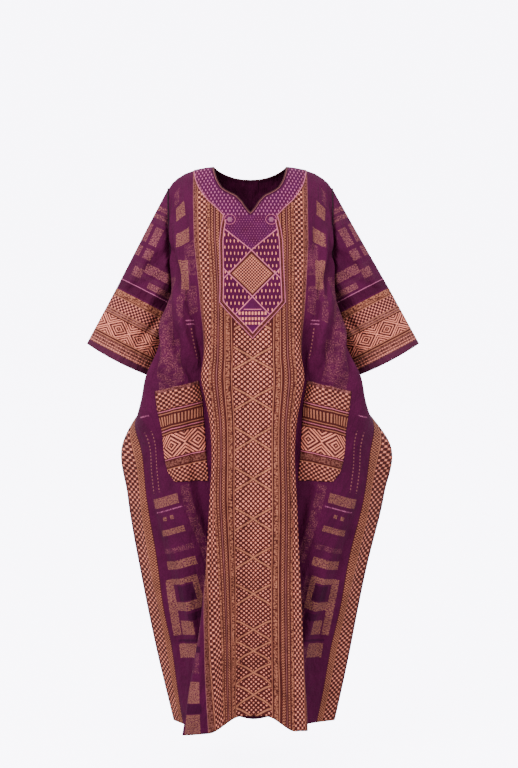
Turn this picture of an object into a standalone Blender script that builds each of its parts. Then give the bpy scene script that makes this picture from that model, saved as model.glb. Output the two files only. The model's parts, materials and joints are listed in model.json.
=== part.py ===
"""Grand boubou: a wide, long robe, worn open at neck, cuffs and hem, with nothing inside it.

The front faces -Y and +Z is up. The origin is the centre of the neck opening, level with the
two high shoulder points, where the wearer's shoulders carry the robe. Every panel is a smooth
surface over its flat cut: "across" runs out from the centre line and "down" runs from the
shoulder line, both in millimetres. Tables give where the main folds stand at each height.
"""

import bpy
import numpy as np

MM = 0.001

# Driving sizes, in millimetres.
CLOTH = 1.2                 # thickness of the cloth, which grows outwards from each surface
SEAM_GAP = 0.5              # two pieces that are sewn together stay this far apart
LAY_GAP = 1.8               # a patch lies this far above the panel that carries it
UNDERARM = 320.0            # depth of the armhole below the shoulder line
HEM = 1436.0                # flat length from the shoulder line to the hem
NECK_HALF = 96.0            # from the centre to the high shoulder point
SHOULDER_HALF = 226.0       # from the centre to the armhole, measured along the shoulder
ARMHOLE_TOP_X = 212.0
ARMHOLE_FOOT_X = 206.0
ARMHOLE_TOP_DROP = 57.0
SLEEVE_STAND_OFF = 1.3      # extra room at the armhole, where the cloth creases inwards
ARMHOLE_DEPTH = 40.0        # how far the armhole stands open, to the front and to the back
CUFF_TIP = (430.0, -459.0)  # X and Z where the sleeve's upper fold ends
CUFF_FOOT = (264.0, -545.0)  # X and Z where its lower fold ends
CUFF_SAG = 14.0             # the cuff's edge hangs in a shallow curve
HEM_LIFT = 36.0             # the front hem is drawn up at the centre

# The straight grain's half width at each depth, down the side seam.
HALF_WIDTH = np.array([
    # down, half_width
    (0, SHOULDER_HALF), (200, 245), (UNDERARM, 270), (486, 322), (735, 400), (HEM, 400)])

# How far the shoulder line falls, out from the neck.
SHOULDER_DROP = np.array([
    # across, drop
    (0, 0), (80, 0), (NECK_HALF, 1), (149, 14), (198, 38), (SHOULDER_HALF, ARMHOLE_TOP_DROP)])

# The wearer's slight lean: the centre line's X at each height.
LEAN = np.array([
    # below, centre_x
    (-100, 0), (0, 0), (150, 2), (320, 7), (700, 9), (1600, 10)])

# How far the cloth at the side hangs below the same thread at the centre.
DROOP = np.array([
    # down, droop
    (0, 0), (UNDERARM, 0), (486, 30), (620, 50), (850, 50), (1080, 44), (1260, 22), (HEM, 2)])

# How quickly each panel comes forward, or back, from the shoulder line.
FRONT_RISE = np.array([
    # down, share
    (0, 0), (8, 0.16), (20, 0.30), (50, 0.52), (100, 0.76), (160, 0.92), (240, 1), (HEM, 1)])
BACK_RISE = np.array([
    # down, share
    (0, 0), (8, 0.20), (20, 0.42), (50, 0.68), (100, 0.88), (160, 0.97), (240, 1), (HEM, 1)])

FRONT_NECKLINE = np.array([
    # across, down
    (0, 132), (11, 120), (22, 102), (35, 87), (48, 80), (65, 71), (81, 53), (91, 27),
    (NECK_HALF, 0)])
BACK_NECKLINE = np.array([
    # across, down
    (0, 28), (48, 23), (76, 13), (90, 5), (NECK_HALF, 0)])

# Front folds. Each station is a place on the cloth, with its X and Y at that height: the pleat's
# crest beside the centre band, the valley behind it, the side field, the outer fold or border,
# and the side seam.
FRONT_FOLDS = np.array([
    # down, centre_y, crest s x y, valley s x y, field s x y, wing s x y, seam x y
    (0, -128, 100, 98, -124, 125, 122, -114, 160, 156, -98, 200, 190, -70, 212, 0),
    (100, -129, 100, 98, -124, 125, 122, -114, 165, 159, -99, 205, 194, -68, 210, 0),
    (200, -138, 105, 103, -133, 130, 126, -121, 172, 163, -110, 218, 196, -78, 208, 0),
    (320, -145, 115, 112, -142, 137, 129, -128, 180, 167, -127, 236, 203, -86, 206, 0),
    (384, -148, 118, 115, -146, 140, 129, -129, 192, 176, -136, 250, 222, -98, 213, -8),
    (486, -150, 122, 119, -149, 145, 124, -127, 206, 182, -143, 275, 243, -108, 226, -24),
    (550, -150, 130, 127, -151, 152, 126, -128, 220, 190, -147, 298, 270, -106, 240, -34),
    (600, -150, 126, 118, -151, 149, 117, -128, 228, 194, -147, 312, 280, -100, 262, -38),
    (650, -150, 121, 109, -151, 144, 110, -128, 232, 196, -144, 328, 286, -92, 292, -32),
    (716, -150, 118, 104, -151, 141, 105, -127, 240, 203, -138, 345, 290, -84, 337, -20),
    (850, -150, 120, 106, -154, 152, 101, -120, 246, 194, -128, 345, 273, -74, 326, -12),
    (1078, -146, 135, 116, -164, 202, 92, -104, 275, 164, -106, 345, 234, -62, 287, -8),
    (1250, -140, 143, 125, -171, 224, 94, -98, 290, 140, -84, 345, 200, -48, 252, -4),
    (HEM, -128, 150, 134, -176, 238, 99, -94, 300, 127, -58, 345, 162, -28, 208, 0)])

# On the wearer's right the front's fold is wider near the hem. These are added to the columns
# above after the first, in full at the hem and by half at the depth before it.
WIDE_FOLD_DOWNS = (0, 1000, 1250, HEM)
WIDE_FOLD = np.array((0, 60, 42, 4, 30, 44, -26, 0, 33, -26, 0, 20, -18, 0, 0))

# Back folds, in the same columns.
BACK_FOLDS = np.array([
    # down, centre_y, crest s x y, valley s x y, field s x y, wing s x y, seam x y
    (0, 112, 60, 60, 111, 120, 118, 102, 160, 156, 90, 200, 190, 64, 212, 0),
    (100, 112, 60, 60, 112, 122, 119, 102, 165, 159, 92, 205, 194, 64, 210, 0),
    (200, 118, 62, 61, 121, 125, 121, 107, 172, 165, 100, 218, 197, 68, 208, 0),
    (320, 116, 66, 64, 126, 130, 124, 104, 184, 174, 106, 236, 205, 66, 206, 0),
    (384, 114, 68, 66, 128, 133, 126, 102, 196, 180, 110, 248, 212, 66, 213, -8),
    (486, 112, 70, 67, 132, 138, 126, 100, 210, 184, 116, 275, 226, 70, 226, -24),
    (550, 110, 72, 68, 135, 142, 125, 98, 222, 188, 120, 295, 238, 70, 240, -34),
    (600, 110, 73, 69, 137, 146, 125, 97, 232, 194, 122, 312, 256, 64, 262, -38),
    (650, 109, 74, 70, 139, 150, 125, 96, 242, 200, 122, 328, 276, 58, 292, -32),
    (716, 108, 76, 70, 142, 155, 123, 94, 252, 206, 122, 345, 296, 54, 337, -20),
    (850, 106, 80, 72, 146, 162, 118, 92, 258, 196, 128, 345, 280, 60, 326, -12),
    (1078, 102, 86, 74, 152, 175, 104, 90, 266, 168, 138, 345, 240, 70, 287, -8),
    (1250, 98, 92, 74, 158, 185, 92, 90, 272, 142, 146, 345, 206, 70, 252, -4),
    (HEM, 92, 98, 76, 164, 195, 78, 92, 278, 118, 152, 345, 166, 76, 208, 0)])

# The wearer's left side stands out a little further where the hand pushes the cloth.
RIGHT_EXTRA = np.array([
    # down, extra_x
    (0, 0), (550, 0), (650, 4), (716, 15), (850, 12), (1000, 0), (HEM, 2)])

# The neck yoke: spokes from the neckline out to its own edge, from the shoulder to the centre.
FRONT_YOKE_SPOKES = np.array([
    # inner_across, inner_down, outer_across, outer_down
    (96, 0, 149, 0), (95.8, 3, 148.8, 4), (95.5, 7, 148.3, 9), (95, 12, 147.3, 16),
    (93.5, 18, 146, 24), (91, 27, 143, 36), (87, 40, 137.5, 52), (81, 53, 130, 66),
    (74, 64, 121, 81), (65, 71, 110, 96), (56, 76, 86, 120), (49, 80, 69, 139),
    (42, 83, 73, 155), (36, 87, 77, 177), (30, 93, 80, 205), (26, 98, 80, 255),
    (22, 102, 80, 310), (18, 109, 80, 361), (14, 115, 60, 384), (9, 122, 40, 406),
    (4, 128, 20, 428), (0, 132, 0, 451)])
BACK_YOKE_SPOKES = np.array([
    # inner_across, inner_down, outer_across, outer_down
    (96, 0, 149, 0), (95.6, .6, 148.5, 4), (95, 1.2, 147.5, 8), (94, 2, 145.5, 14),
    (93, 3, 143, 20), (91, 4.5, 137, 29), (88, 6.5, 128, 40), (82, 10, 115, 51),
    (74, 14, 102, 58), (60, 19, 80, 67), (42, 24, 52, 74), (22, 27, 26, 77), (0, 28, 0, 78)])

# A patch pocket, open along its top edge: its side edges and its foot at each share of its height.
POCKET_TOP = 551.0
POCKET_ROWS = np.array([
    # inner_down, outer_down, inner_across, outer_across
    (551, 553, 172, 266), (558, 560, 172, 266.5), (600, 597, 170, 269), (650, 641, 168, 270),
    (700, 686, 167, 270), (750, 731, 168, 268), (782, 760, 168, 262), (803, 786, 170, 246)])
POCKET_MOUTH = 11.0         # how far the mouth of a pocket stands off the panel

# Lines of the grid, as shares of the half width and depths. Front and back share their rows.
FRONT_ACROSS = (0, .07, .14, .21, .28, .34, .385, .412, NECK_HALF / SHOULDER_HALF,
                .455, .49, .56, .63, .70, .77, .84, .90, .95, 1)
BACK_ACROSS = (0, .10, .20, .27, .33, .38, .405, NECK_HALF / SHOULDER_HALF, .50, .58, .66, .74,
               .82, .90, 1)
YOKE_TO_UNDERARM = (0, .025, .07, .15, .27, .42, .60, .80, 1)
BELOW_UNDERARM = (352, 384, 435, 486, 550, 592, 630, 666, 720, 790, 870, 960, 1060, 1160,
                  1260, 1350, HEM)
SLEEVE_ALONG = (0, .08, .2, .36, .54, .72, .88, 1)
SLEEVE_AROUND = 20


def curve(keys, values, at):
    """A smooth curve through rows of (key, value), read where `at` says.

    Each tangent is the slope of the parabola through a row and its two neighbours. Keys and
    values have a row for each station and may have a column for each point of `at`.
    """
    keys, values = np.broadcast_arrays(keys, values)
    gaps = np.diff(keys, axis=0)
    slopes = np.diff(values, axis=0) / gaps
    inner = (slopes[:-1] * gaps[1:] + slopes[1:] * gaps[:-1]) / (gaps[:-1] + gaps[1:])
    tangents = np.concatenate([slopes[:1], inner, slopes[-1:]])
    cell = np.clip((at >= keys).sum(axis=0) - 1, 0, len(keys) - 2)[None]

    def pick(rows, step=0):
        wide = np.broadcast_to(rows, (len(rows), cell.shape[1]))
        return np.take_along_axis(wide, cell + step, axis=0)[0]

    gap = pick(gaps)
    share = np.clip((at - pick(keys)) / gap, 0, 1)
    rest = 1 - share
    return (rest ** 2 * (1 + 2 * share) * pick(values)
            + share ** 2 * (1 + 2 * rest) * pick(values, 1)
            + share * rest * gap * (rest * pick(tangents) - share * pick(tangents, 1)))


def along(table, at, column=1):
    """One column of a table, as a smooth curve over its first column."""
    return curve(table[:, :1], table[:, column:column + 1], np.asarray(at, float))


def straight(table, at, column=1):
    """One column of a table, with straight lines between its rows."""
    return np.interp(at, table[:, 0], table[:, column])


def smooth_step(share):
    """0 to 1 with level ends."""
    share = np.clip(share, 0, 1)
    return share * share * (3 - 2 * share)


def armhole(down):
    """X, Y and Z on the front half of the armhole: half an upright ellipse that leans inwards."""
    share = np.clip(down / UNDERARM, 0, 1)
    x = ARMHOLE_TOP_X + (ARMHOLE_FOOT_X - ARMHOLE_TOP_X) * share
    y = -2 * ARMHOLE_DEPTH * np.sqrt(share * (1 - share))
    z = -(ARMHOLE_TOP_DROP + (UNDERARM - ARMHOLE_TOP_DROP) * share)
    return x, y, z


def wide_fold(down):
    """What the wearer's right hand side adds to the front's table, for each of its rows."""
    change = np.interp(down, WIDE_FOLD_DOWNS, (0, 0, 0.5, 1))[:, None] * WIDE_FOLD
    return np.hstack([np.zeros((len(down), 1)), change])


def stations_at(folds, down, level):
    """The rows of keys, X and Y for the curve across the cloth at each depth.

    The outer stations are read a little lower, because the cloth droops towards its sides. A
    mirrored station past the centre line keeps the curve level there.
    """
    inner = [along(folds, down, column) for column in range(1, 8)]
    outer = [along(folds, level, column) for column in range(8, folds.shape[1])]
    half = straight(HALF_WIDTH, down)
    zero = np.zeros_like(half)
    keys = np.array([-inner[1], zero, inner[1], inner[4], outer[0], outer[3], half])
    x_at = np.array([-inner[2], zero, inner[2], inner[5], outer[1], outer[4], outer[6]])
    y_at = np.array([inner[3], inner[0], inner[3], inner[6], outer[2], outer[5], outer[7]])
    return keys, x_at, y_at


def panel(folds, rise, facing, across, down):
    """Points on the front (facing -1) or back (facing +1) for signed distances on its flat cut."""
    side = np.abs(across)
    level = np.minimum(down + along(DROOP, down), HEM)
    keys, x_at, y_at = stations_at(folds, down, level)
    if facing < 0:
        wide = stations_at(FRONT_FOLDS + wide_fold(FRONT_FOLDS[:, 0]), down, level)
        pairs = zip((keys, x_at, y_at), wide)
        keys, x_at, y_at = (np.where(across < 0, other, plain) for plain, other in pairs)
    y_at[:-1] *= along(rise, down)
    arm_x, arm_y, _ = armhole(down)
    above = down < UNDERARM
    x_at[-1] = np.where(above, arm_x, x_at[-1])
    y_at[-1] = np.where(above, -facing * arm_y, y_at[-1])
    x = curve(keys, x_at, side)
    y = curve(keys, y_at, side)
    extra = along(RIGHT_EXTRA, level) * smooth_step((side - 200) / 200) * (across > 0)
    drop = straight(SHOULDER_DROP, side) * np.clip(1 - down / UNDERARM, 0, 1)
    droop = along(DROOP, down) * smooth_step((side - keys[2]) / (keys[-1] - keys[2]))
    lift = HEM_LIFT * smooth_step((down - 900) / (HEM - 900)) * (1 - smooth_step((side - 30) / 90))
    z = -(down + drop + droop) + (lift if facing < 0 else 0)
    x = np.sign(across) * (x + extra) + straight(LEAN, -z)
    return np.stack([x, y + facing * SEAM_GAP / 2, z], axis=-1)


def front(across, down):
    return panel(FRONT_FOLDS, FRONT_RISE, -1, across, down)


def back(across, down):
    return panel(BACK_FOLDS, BACK_RISE, 1, across, down)


def moved_out(surface, facing, across, down, out):
    """Points of a panel moved out along its normal, which the two tangents give."""
    step = 2.0
    inside = np.clip(np.abs(across), 0, straight(HALF_WIDTH, down) - step)
    across = np.where(across < 0, -inside, inside)
    low, high = np.clip(down - step, 0, HEM), np.clip(down + step, 0, HEM)
    over = surface(across + step, down) - surface(across - step, down)
    below = surface(across, high) - surface(across, low)
    normal = np.cross(over, below) * facing
    normal /= np.linalg.norm(normal, axis=-1, keepdims=True)
    return surface(across, down) + normal * np.asarray(out)[..., None]


def grid_object(name, points, outward, closed=False):
    """A walled sheet over a grid of points, with its wall on the outward side."""
    rows, columns = points.shape[:2]
    index = np.arange(rows * columns).reshape(rows, columns)
    if closed:
        index = np.hstack([index, index[:, :1]])
    corners = (index[:-1, :-1], index[1:, :-1], index[1:, 1:], index[:-1, 1:])
    faces = np.stack(corners, axis=-1).reshape(-1, 4)
    mesh = bpy.data.meshes.new(name)
    mesh.from_pydata((points.reshape(-1, 3) * MM).tolist(), [], faces.tolist())
    mesh.update()
    facing = sum(face.normal.dot(outward(face.center)) * face.area for face in mesh.polygons)
    if facing < 0:
        mesh.flip_normals()
    mesh.shade_smooth()
    thing = bpy.data.objects.new(name, mesh)
    wall = thing.modifiers.new("cloth", "SOLIDIFY")
    wall.thickness = CLOTH * MM
    wall.offset = 1
    return thing


def flat_rows(shares, lower, neckline, sides):
    """Signed distances across and down for a panel's whole grid, right up to its neckline."""
    shares = np.asarray(shares, float)
    signed = np.concatenate([-shares[:0:-1], shares])
    first = np.abs(signed) * SHOULDER_HALF
    top = np.where(first < NECK_HALF - 0.01, along(neckline, np.minimum(first, NECK_HALF)), 0)
    steps = np.asarray(YOKE_TO_UNDERARM, float)[:, None]
    upper = top + steps * (UNDERARM - top)
    down = np.vstack([upper, np.repeat(np.asarray(lower, float)[:, None], len(signed), axis=1)])
    half = straight(HALF_WIDTH, down) * sides
    return signed * half, down


def evaluate(surface, across, down):
    """A surface read over a whole grid of flat distances."""
    return surface(across.ravel(), down.ravel()).reshape(*across.shape, 3)


def spokes_grid(spokes, shares):
    """Flat distances over a patch that runs from the left shoulder round to the right one."""
    inner_s, inner_t, outer_s, outer_t = spokes.T
    shares = np.asarray(shares, float)[:, None]
    half_s = inner_s + (outer_s - inner_s) * shares
    half_t = inner_t + (outer_t - inner_t) * shares
    across = np.hstack([-half_s, half_s[:, -2::-1]])
    down = np.hstack([half_t, half_t[:, -2::-1]])
    return across, down


def yoke(name, surface, facing, spokes, shares):
    """A patch round the neckline, a cloth's thickness and a small gap above its panel."""
    across, down = spokes_grid(spokes, shares)
    flat = across.ravel(), down.ravel()
    points = moved_out(surface, facing, *flat, np.full(across.size, CLOTH + LAY_GAP))
    return grid_object(name, points.reshape(*across.shape, 3), lambda centre: (0, facing, 0.3))


def pocket(name, side):
    """A patch pocket that follows the front, closed at its sides and foot and open at the top."""
    inner_down, outer_down, inner_across, outer_across = POCKET_ROWS.T
    over = np.linspace(0, 1, 8)
    across = inner_across[:, None] + (outer_across - inner_across)[:, None] * over
    down = inner_down[:, None] + (outer_down - inner_down)[:, None] * over
    height = 1 - (down - POCKET_TOP) / (down[-1] - POCKET_TOP)
    pouch = POCKET_MOUTH * np.sin(np.pi * over) ** 0.7 * np.clip(height, 0, 1) ** 0.6
    out = CLOTH + LAY_GAP + pouch
    points = moved_out(front, -1, side * across.ravel(), down.ravel(), out.ravel())
    return grid_object(name, points.reshape(*across.shape, 3), lambda centre: (0, -1, 0))


def sleeve(name, side):
    """A wide flattened tube from the armhole to the cuff, folded along its upper edge."""
    share = np.asarray(SLEEVE_ALONG, float)[:, None]
    turn = np.linspace(0, 2 * np.pi, SLEEVE_AROUND, endpoint=False)[None]
    start = CLOTH + SEAM_GAP + SLEEVE_STAND_OFF
    top_x = ARMHOLE_TOP_X + start + (CUFF_TIP[0] - ARMHOLE_TOP_X) * share
    top_z = -ARMHOLE_TOP_DROP + (CUFF_TIP[1] + ARMHOLE_TOP_DROP) * share
    foot_x = ARMHOLE_FOOT_X + start + (CUFF_FOOT[0] - ARMHOLE_FOOT_X) * share
    foot_z = -UNDERARM + (CUFF_FOOT[1] + UNDERARM) * share
    across = (1 - np.cos(turn)) / 2
    depth = ARMHOLE_DEPTH + 22 * np.sin(np.pi * share * 0.62)
    sag = CUFF_SAG * share ** 2 * np.sin(np.pi * across)
    x = top_x + (foot_x - top_x) * across
    z = top_z + (foot_z - top_z) * across - sag
    y = -depth * np.sin(turn)
    x = side * x + straight(LEAN, -z)
    points = np.stack([x, y, z], axis=-1)
    middle = points.mean(axis=(0, 1)) * MM
    return grid_object(name, points, lambda at: (0, at[1] - middle[1], 0), closed=True)


def finish(thing, name, colour, roughness):
    """Give a piece its own cloth material and put it in the robe's collection."""
    material = bpy.data.materials.new(name)
    material.use_nodes = True
    shader = material.node_tree.nodes["Principled BSDF"]
    shader.inputs["Base Color"].default_value = (*colour, 1)
    shader.inputs["Roughness"].default_value = roughness
    shader.inputs["Metallic"].default_value = 0
    thing.data.materials.append(material)
    collection = bpy.data.collections.get("Grand boubou")
    if collection is None:
        collection = bpy.data.collections.new("Grand boubou")
        bpy.context.scene.collection.children.link(collection)
    collection.objects.link(thing)


PURPLE = (0.105, 0.022, 0.07)
PLUM = (0.16, 0.035, 0.11)
SALMON = (0.36, 0.15, 0.11)
BAND_SHARES = np.linspace(0, 1, 8)
NARROW_SHARES = np.linspace(0, 1, 6)


def main():
    for thing in list(bpy.data.objects):
        bpy.data.objects.remove(thing)

    seam = 1 - 0.15 / 400
    grid = flat_rows(FRONT_ACROSS, BELOW_UNDERARM, FRONT_NECKLINE, seam)
    panel_front = grid_object("front_panel", evaluate(front, *grid), lambda at: (0, -1, 0))
    finish(panel_front, "front cloth", PURPLE, 0.8)

    grid = flat_rows(BACK_ACROSS, BELOW_UNDERARM, BACK_NECKLINE, seam)
    panel_back = grid_object("back_panel", evaluate(back, *grid), lambda at: (0, 1, 0))
    finish(panel_back, "back cloth", PURPLE, 0.8)

    for name, side in (("sleeve_right", -1), ("sleeve_left", 1)):
        finish(sleeve(name, side), name + " cloth", PURPLE, 0.8)

    front_yoke = yoke("front_yoke", front, -1, FRONT_YOKE_SPOKES, BAND_SHARES)
    finish(front_yoke, "front yoke cloth", PLUM, 0.75)
    back_yoke = yoke("back_yoke", back, 1, BACK_YOKE_SPOKES, NARROW_SHARES)
    finish(back_yoke, "back yoke cloth", PLUM, 0.75)

    for name, side in (("pocket_right", -1), ("pocket_left", 1)):
        finish(pocket(name, side), name + " cloth", SALMON, 0.8)


main()
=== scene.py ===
# %% [markdown]
# # A grand boubou, cell by cell
# A grand boubou is a very wide, long robe. It is cut from two big panels, a front and a back,
# which are joined at the shoulders and down the sides. Two wide sleeves, a patch round the neck
# (the yoke) and two patch pockets complete it. It hangs here as if someone wore it, and nobody
# is inside. The CAD model comes first, because every piece of cloth must lie where it says.

# %% Load the frame
import json
from math import pi, radians

import bpy
import numpy as np
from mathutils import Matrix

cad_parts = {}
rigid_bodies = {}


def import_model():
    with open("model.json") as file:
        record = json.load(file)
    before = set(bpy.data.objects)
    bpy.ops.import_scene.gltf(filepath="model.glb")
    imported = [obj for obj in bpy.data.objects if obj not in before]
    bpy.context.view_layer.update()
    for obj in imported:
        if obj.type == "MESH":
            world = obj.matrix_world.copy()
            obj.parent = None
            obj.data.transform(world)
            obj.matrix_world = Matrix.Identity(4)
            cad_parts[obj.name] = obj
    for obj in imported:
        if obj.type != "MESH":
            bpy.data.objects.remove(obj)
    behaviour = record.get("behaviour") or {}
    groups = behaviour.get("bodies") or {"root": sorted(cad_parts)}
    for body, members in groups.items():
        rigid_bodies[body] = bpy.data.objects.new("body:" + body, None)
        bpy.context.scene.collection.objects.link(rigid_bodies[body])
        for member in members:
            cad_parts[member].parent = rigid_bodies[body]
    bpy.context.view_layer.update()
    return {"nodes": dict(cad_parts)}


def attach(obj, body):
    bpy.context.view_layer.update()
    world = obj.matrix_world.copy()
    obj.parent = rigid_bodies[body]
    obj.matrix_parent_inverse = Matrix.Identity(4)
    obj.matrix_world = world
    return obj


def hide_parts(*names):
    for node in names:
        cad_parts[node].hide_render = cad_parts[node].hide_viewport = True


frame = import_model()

print("nodes:", ", ".join(sorted(frame["nodes"])))

# %% [markdown]
# ## The camera
# A camera half a metre below the shoulders, with a longish lens, shows the robe from the front
# with little perspective. It stands four metres away and looks along +Y.

# %% The camera
camera_data = bpy.data.cameras.new("camera")
camera_data.sensor_fit = "VERTICAL"
camera_data.sensor_height = 36
camera_data.lens = 72.1
camera = bpy.data.objects.new("camera", camera_data)
camera.location = (0.0234, -4.0, -0.564)
camera.rotation_euler = (radians(90), 0, 0)
bpy.context.scene.collection.objects.link(camera)
bpy.context.scene.camera = camera
print("camera at", tuple(round(value, 3) for value in camera.location), "lens", camera_data.lens)

# %% [markdown]
# ## Colour, nodes and meshes
# Small helpers serve the whole lesson. One turns an sRGB hex colour into the linear numbers that a
# shader wants. One adds a node with its settings and links. One starts a material. Others number
# the faces of a grid, measure paths, and put points, faces and flat-cut coordinates into a mesh.

# %% Colours and nodes
def linear(colour):
    """An sRGB hex colour as linear red, green, blue and alpha."""
    parts = np.array([int(colour[place:place + 2], 16) for place in (1, 3, 5)]) / 255
    parts = np.where(parts <= 0.04045, parts / 12.92, ((parts + 0.055) / 1.055) ** 2.4)
    return (*parts.tolist(), 1.0)


def add(tree, kind, *inputs, **settings):
    """Add a node. Each input is a number, a colour, a socket to link from, or None."""
    node = tree.nodes.new("ShaderNode" + kind)
    for name, value in settings.items():
        setattr(node, name, value)
    for socket, value in zip([one for one in node.inputs if one.enabled], inputs):
        if isinstance(value, bpy.types.NodeSocket):
            tree.links.new(value, socket)
        elif value is not None:
            socket.default_value = value
    return next(one for one in node.outputs if one.enabled)


def new_material(name, look):
    """A material, its node tree and its shader's inputs, with the plain ones set from look."""
    material = bpy.data.materials.new(name)
    material.use_nodes = True
    inputs = material.node_tree.nodes["Principled BSDF"].inputs
    for label, value in look.items():
        inputs[label].default_value = value
    return material, material.node_tree, inputs


print("plum in linear light:", [round(part, 3) for part in linear("#4a0a32")])

# %% Grids and meshes
MM = 0.001


def unit(vectors):
    """The same directions, each with length 1."""
    return vectors / np.linalg.norm(vectors, axis=-1, keepdims=True)


def gone_along(path):
    """How far along a path each of its points is: the running sum of its steps."""
    return np.concatenate([[0], np.cumsum(np.linalg.norm(np.diff(path, axis=0), axis=-1))])


def grid_faces(rows, columns, wrap_rows=False, wrap_columns=False):
    """Corners of every square of a grid whose points are numbered row by row."""
    index = np.arange(rows * columns).reshape(rows, columns)
    if wrap_rows:
        index = np.vstack([index, index[:1]])
    if wrap_columns:
        index = np.hstack([index, index[:, :1]])
    corners = (index[:-1, :-1], index[1:, :-1], index[1:, 1:], index[:-1, 1:])
    return np.stack(corners, axis=-1).reshape(-1, 4)


def new_piece(name, points, faces, flat=None):
    """A smooth mesh from points in millimetres, with the flat cut's coordinates as its UV map."""
    mesh = bpy.data.meshes.new(name)
    faces = [list(face) for face in faces]
    mesh.from_pydata((np.asarray(points).reshape(-1, 3) * MM).tolist(), [], faces)
    mesh.update()
    if flat is not None:
        layer = mesh.uv_layers.new(name="flat_cut")
        corner = np.empty(len(mesh.loops), dtype=np.int32)
        mesh.loops.foreach_get("vertex_index", corner)
        layer.uv.foreach_set("vector", (np.asarray(flat).reshape(-1, 2) * MM)[corner].ravel())
    mesh.shade_smooth()
    piece = bpy.data.objects.new(name, mesh)
    bpy.context.scene.collection.objects.link(piece)
    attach(piece, "root")
    return piece


print("faces of a 3 by 4 grid:", len(grid_faces(3, 4)))

# %% [markdown]
# ## The cut, and where its folds stand
# A tailor knows cloth by its flat cut: how far across from the centre line, and how far down from
# the shoulder line. Each point of a panel is a function of those two lengths. Tables give the
# places of the main folds at a few heights, as (flat distance, X, Y), and smooth curves run
# through them, so the cloth keeps its length as it folds. The sizes are in millimetres.

# %% Sizes of the cut
UNDERARM = 320.0            # depth of the armhole below the shoulder line
HEM = 1436.0                # flat length from the shoulder line to the hem
NECK_HALF = 96.0            # from the centre to the high shoulder point
SHOULDER_HALF = 226.0       # from the centre to the armhole
ARMHOLE_TOP_X, ARMHOLE_FOOT_X = 212.0, 206.0
ARMHOLE_TOP_DROP = 57.0
ARMHOLE_DEPTH = 40.0        # how far the armhole stands open, to the front and to the back
CUFF_TIP = (430.0, -459.0)  # X and Z where the sleeve's upper fold ends
CUFF_FOOT = (264.0, -545.0)  # X and Z where its lower fold ends
CUFF_SAG = 5.0
FOOT_BEND = 13.0            # the sleeve's lower fold rests against the side
HEM_LIFT = 36.0             # the front hem is drawn up at the centre
LEFT_LIFT = 10.0            # and a little at the crest on the wearer's left
BACK_DIP = 20.0             # the back hem hangs lower at its centre
SEAM_GAP = 0.5
LIFT_FROM = 900.0           # where the front's lift at the centre begins
LOW_FROM = 1250.0           # where the small lift and the dip begin
SIDES = (("right", -1), ("left", 1))  # the wearer's, with the sign of X

HALF_WIDTH = np.array([
    # down, half_width
    (0, SHOULDER_HALF), (200, 245), (UNDERARM, 270), (486, 322), (735, 400), (HEM, 400)])
SHOULDER_DROP = np.array([
    # across, drop
    (0, 0), (80, 0), (NECK_HALF, 1), (120, 4), (149, 9.5), (175, 18), (198, 30), (214, 42),
    (SHOULDER_HALF, ARMHOLE_TOP_DROP)])
LEAN = np.array([
    # below, centre_x
    (-100, 0), (0, 0), (150, 2), (320, 7), (700, 9), (1600, 10)])
DROOP = np.array([
    # down, how far the side hangs below the same thread at the centre
    (0, 0), (UNDERARM, 0), (486, 30), (620, 50), (850, 50), (1080, 44), (1260, 22), (HEM, 2)])
FRONT_RISE = np.array([
    # down, share of the way forward
    (0, 0), (8, 0.16), (20, 0.30), (50, 0.52), (100, 0.76), (160, 0.92), (240, 1), (HEM, 1)])
BACK_RISE = np.array([
    # down, share of the way back
    (0, 0), (8, 0.20), (20, 0.42), (50, 0.68), (100, 0.88), (160, 0.97), (240, 1), (HEM, 1)])
FRONT_NECKLINE = np.array([
    # across, down
    (0, 132), (11, 120), (22, 102), (35, 87), (48, 80), (65, 71), (81, 53), (91, 27),
    (NECK_HALF, 0)])
BACK_NECKLINE = np.array([
    # across, down
    (0, 28), (48, 23), (76, 13), (90, 5), (NECK_HALF, 0)])
print("front:", 2 * HALF_WIDTH[-1, 1], "mm wide at the hem,", HEM, "mm long")

# %% Tables of the folds
FRONT_FOLDS = np.array([
    # down, centre_y, crest s x y, valley s x y, field s x y, wing s x y, seam x y
    (0, -128, 100, 98, -124, 125, 122, -114, 160, 156, -98, 200, 190, -70, 212, 0),
    (100, -129, 100, 98, -124, 125, 122, -114, 165, 159, -99, 205, 194, -68, 210, 0),
    (200, -138, 105, 103, -133, 130, 126, -121, 172, 163, -110, 218, 196, -78, 208, 0),
    (320, -145, 115, 112, -142, 137, 129, -128, 180, 167, -127, 236, 203, -86, 206, 0),
    (384, -148, 118, 115, -146, 140, 129, -129, 192, 176, -136, 250, 222, -98, 213, -8),
    (486, -150, 122, 119, -149, 145, 124, -127, 206, 182, -143, 275, 243, -108, 226, -24),
    (550, -150, 130, 127, -151, 152, 126, -128, 220, 190, -147, 298, 270, -106, 240, -34),
    (600, -150, 126, 118, -151, 149, 117, -128, 228, 194, -147, 312, 280, -100, 262, -38),
    (650, -150, 121, 109, -151, 144, 110, -128, 232, 196, -144, 328, 292, -92, 302, -32),
    (716, -150, 118, 104, -151, 141, 105, -127, 240, 203, -138, 345, 290, -84, 337, -20),
    (850, -150, 120, 106, -154, 152, 101, -120, 246, 194, -128, 345, 273, -74, 326, -12),
    (1078, -146, 135, 116, -164, 202, 92, -104, 275, 164, -106, 345, 234, -62, 287, -8),
    (1250, -140, 143, 125, -171, 224, 94, -98, 290, 140, -84, 345, 200, -48, 252, -4),
    (HEM, -128, 150, 134, -176, 238, 99, -94, 300, 127, -58, 345, 162, -28, 208, 0)])
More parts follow.
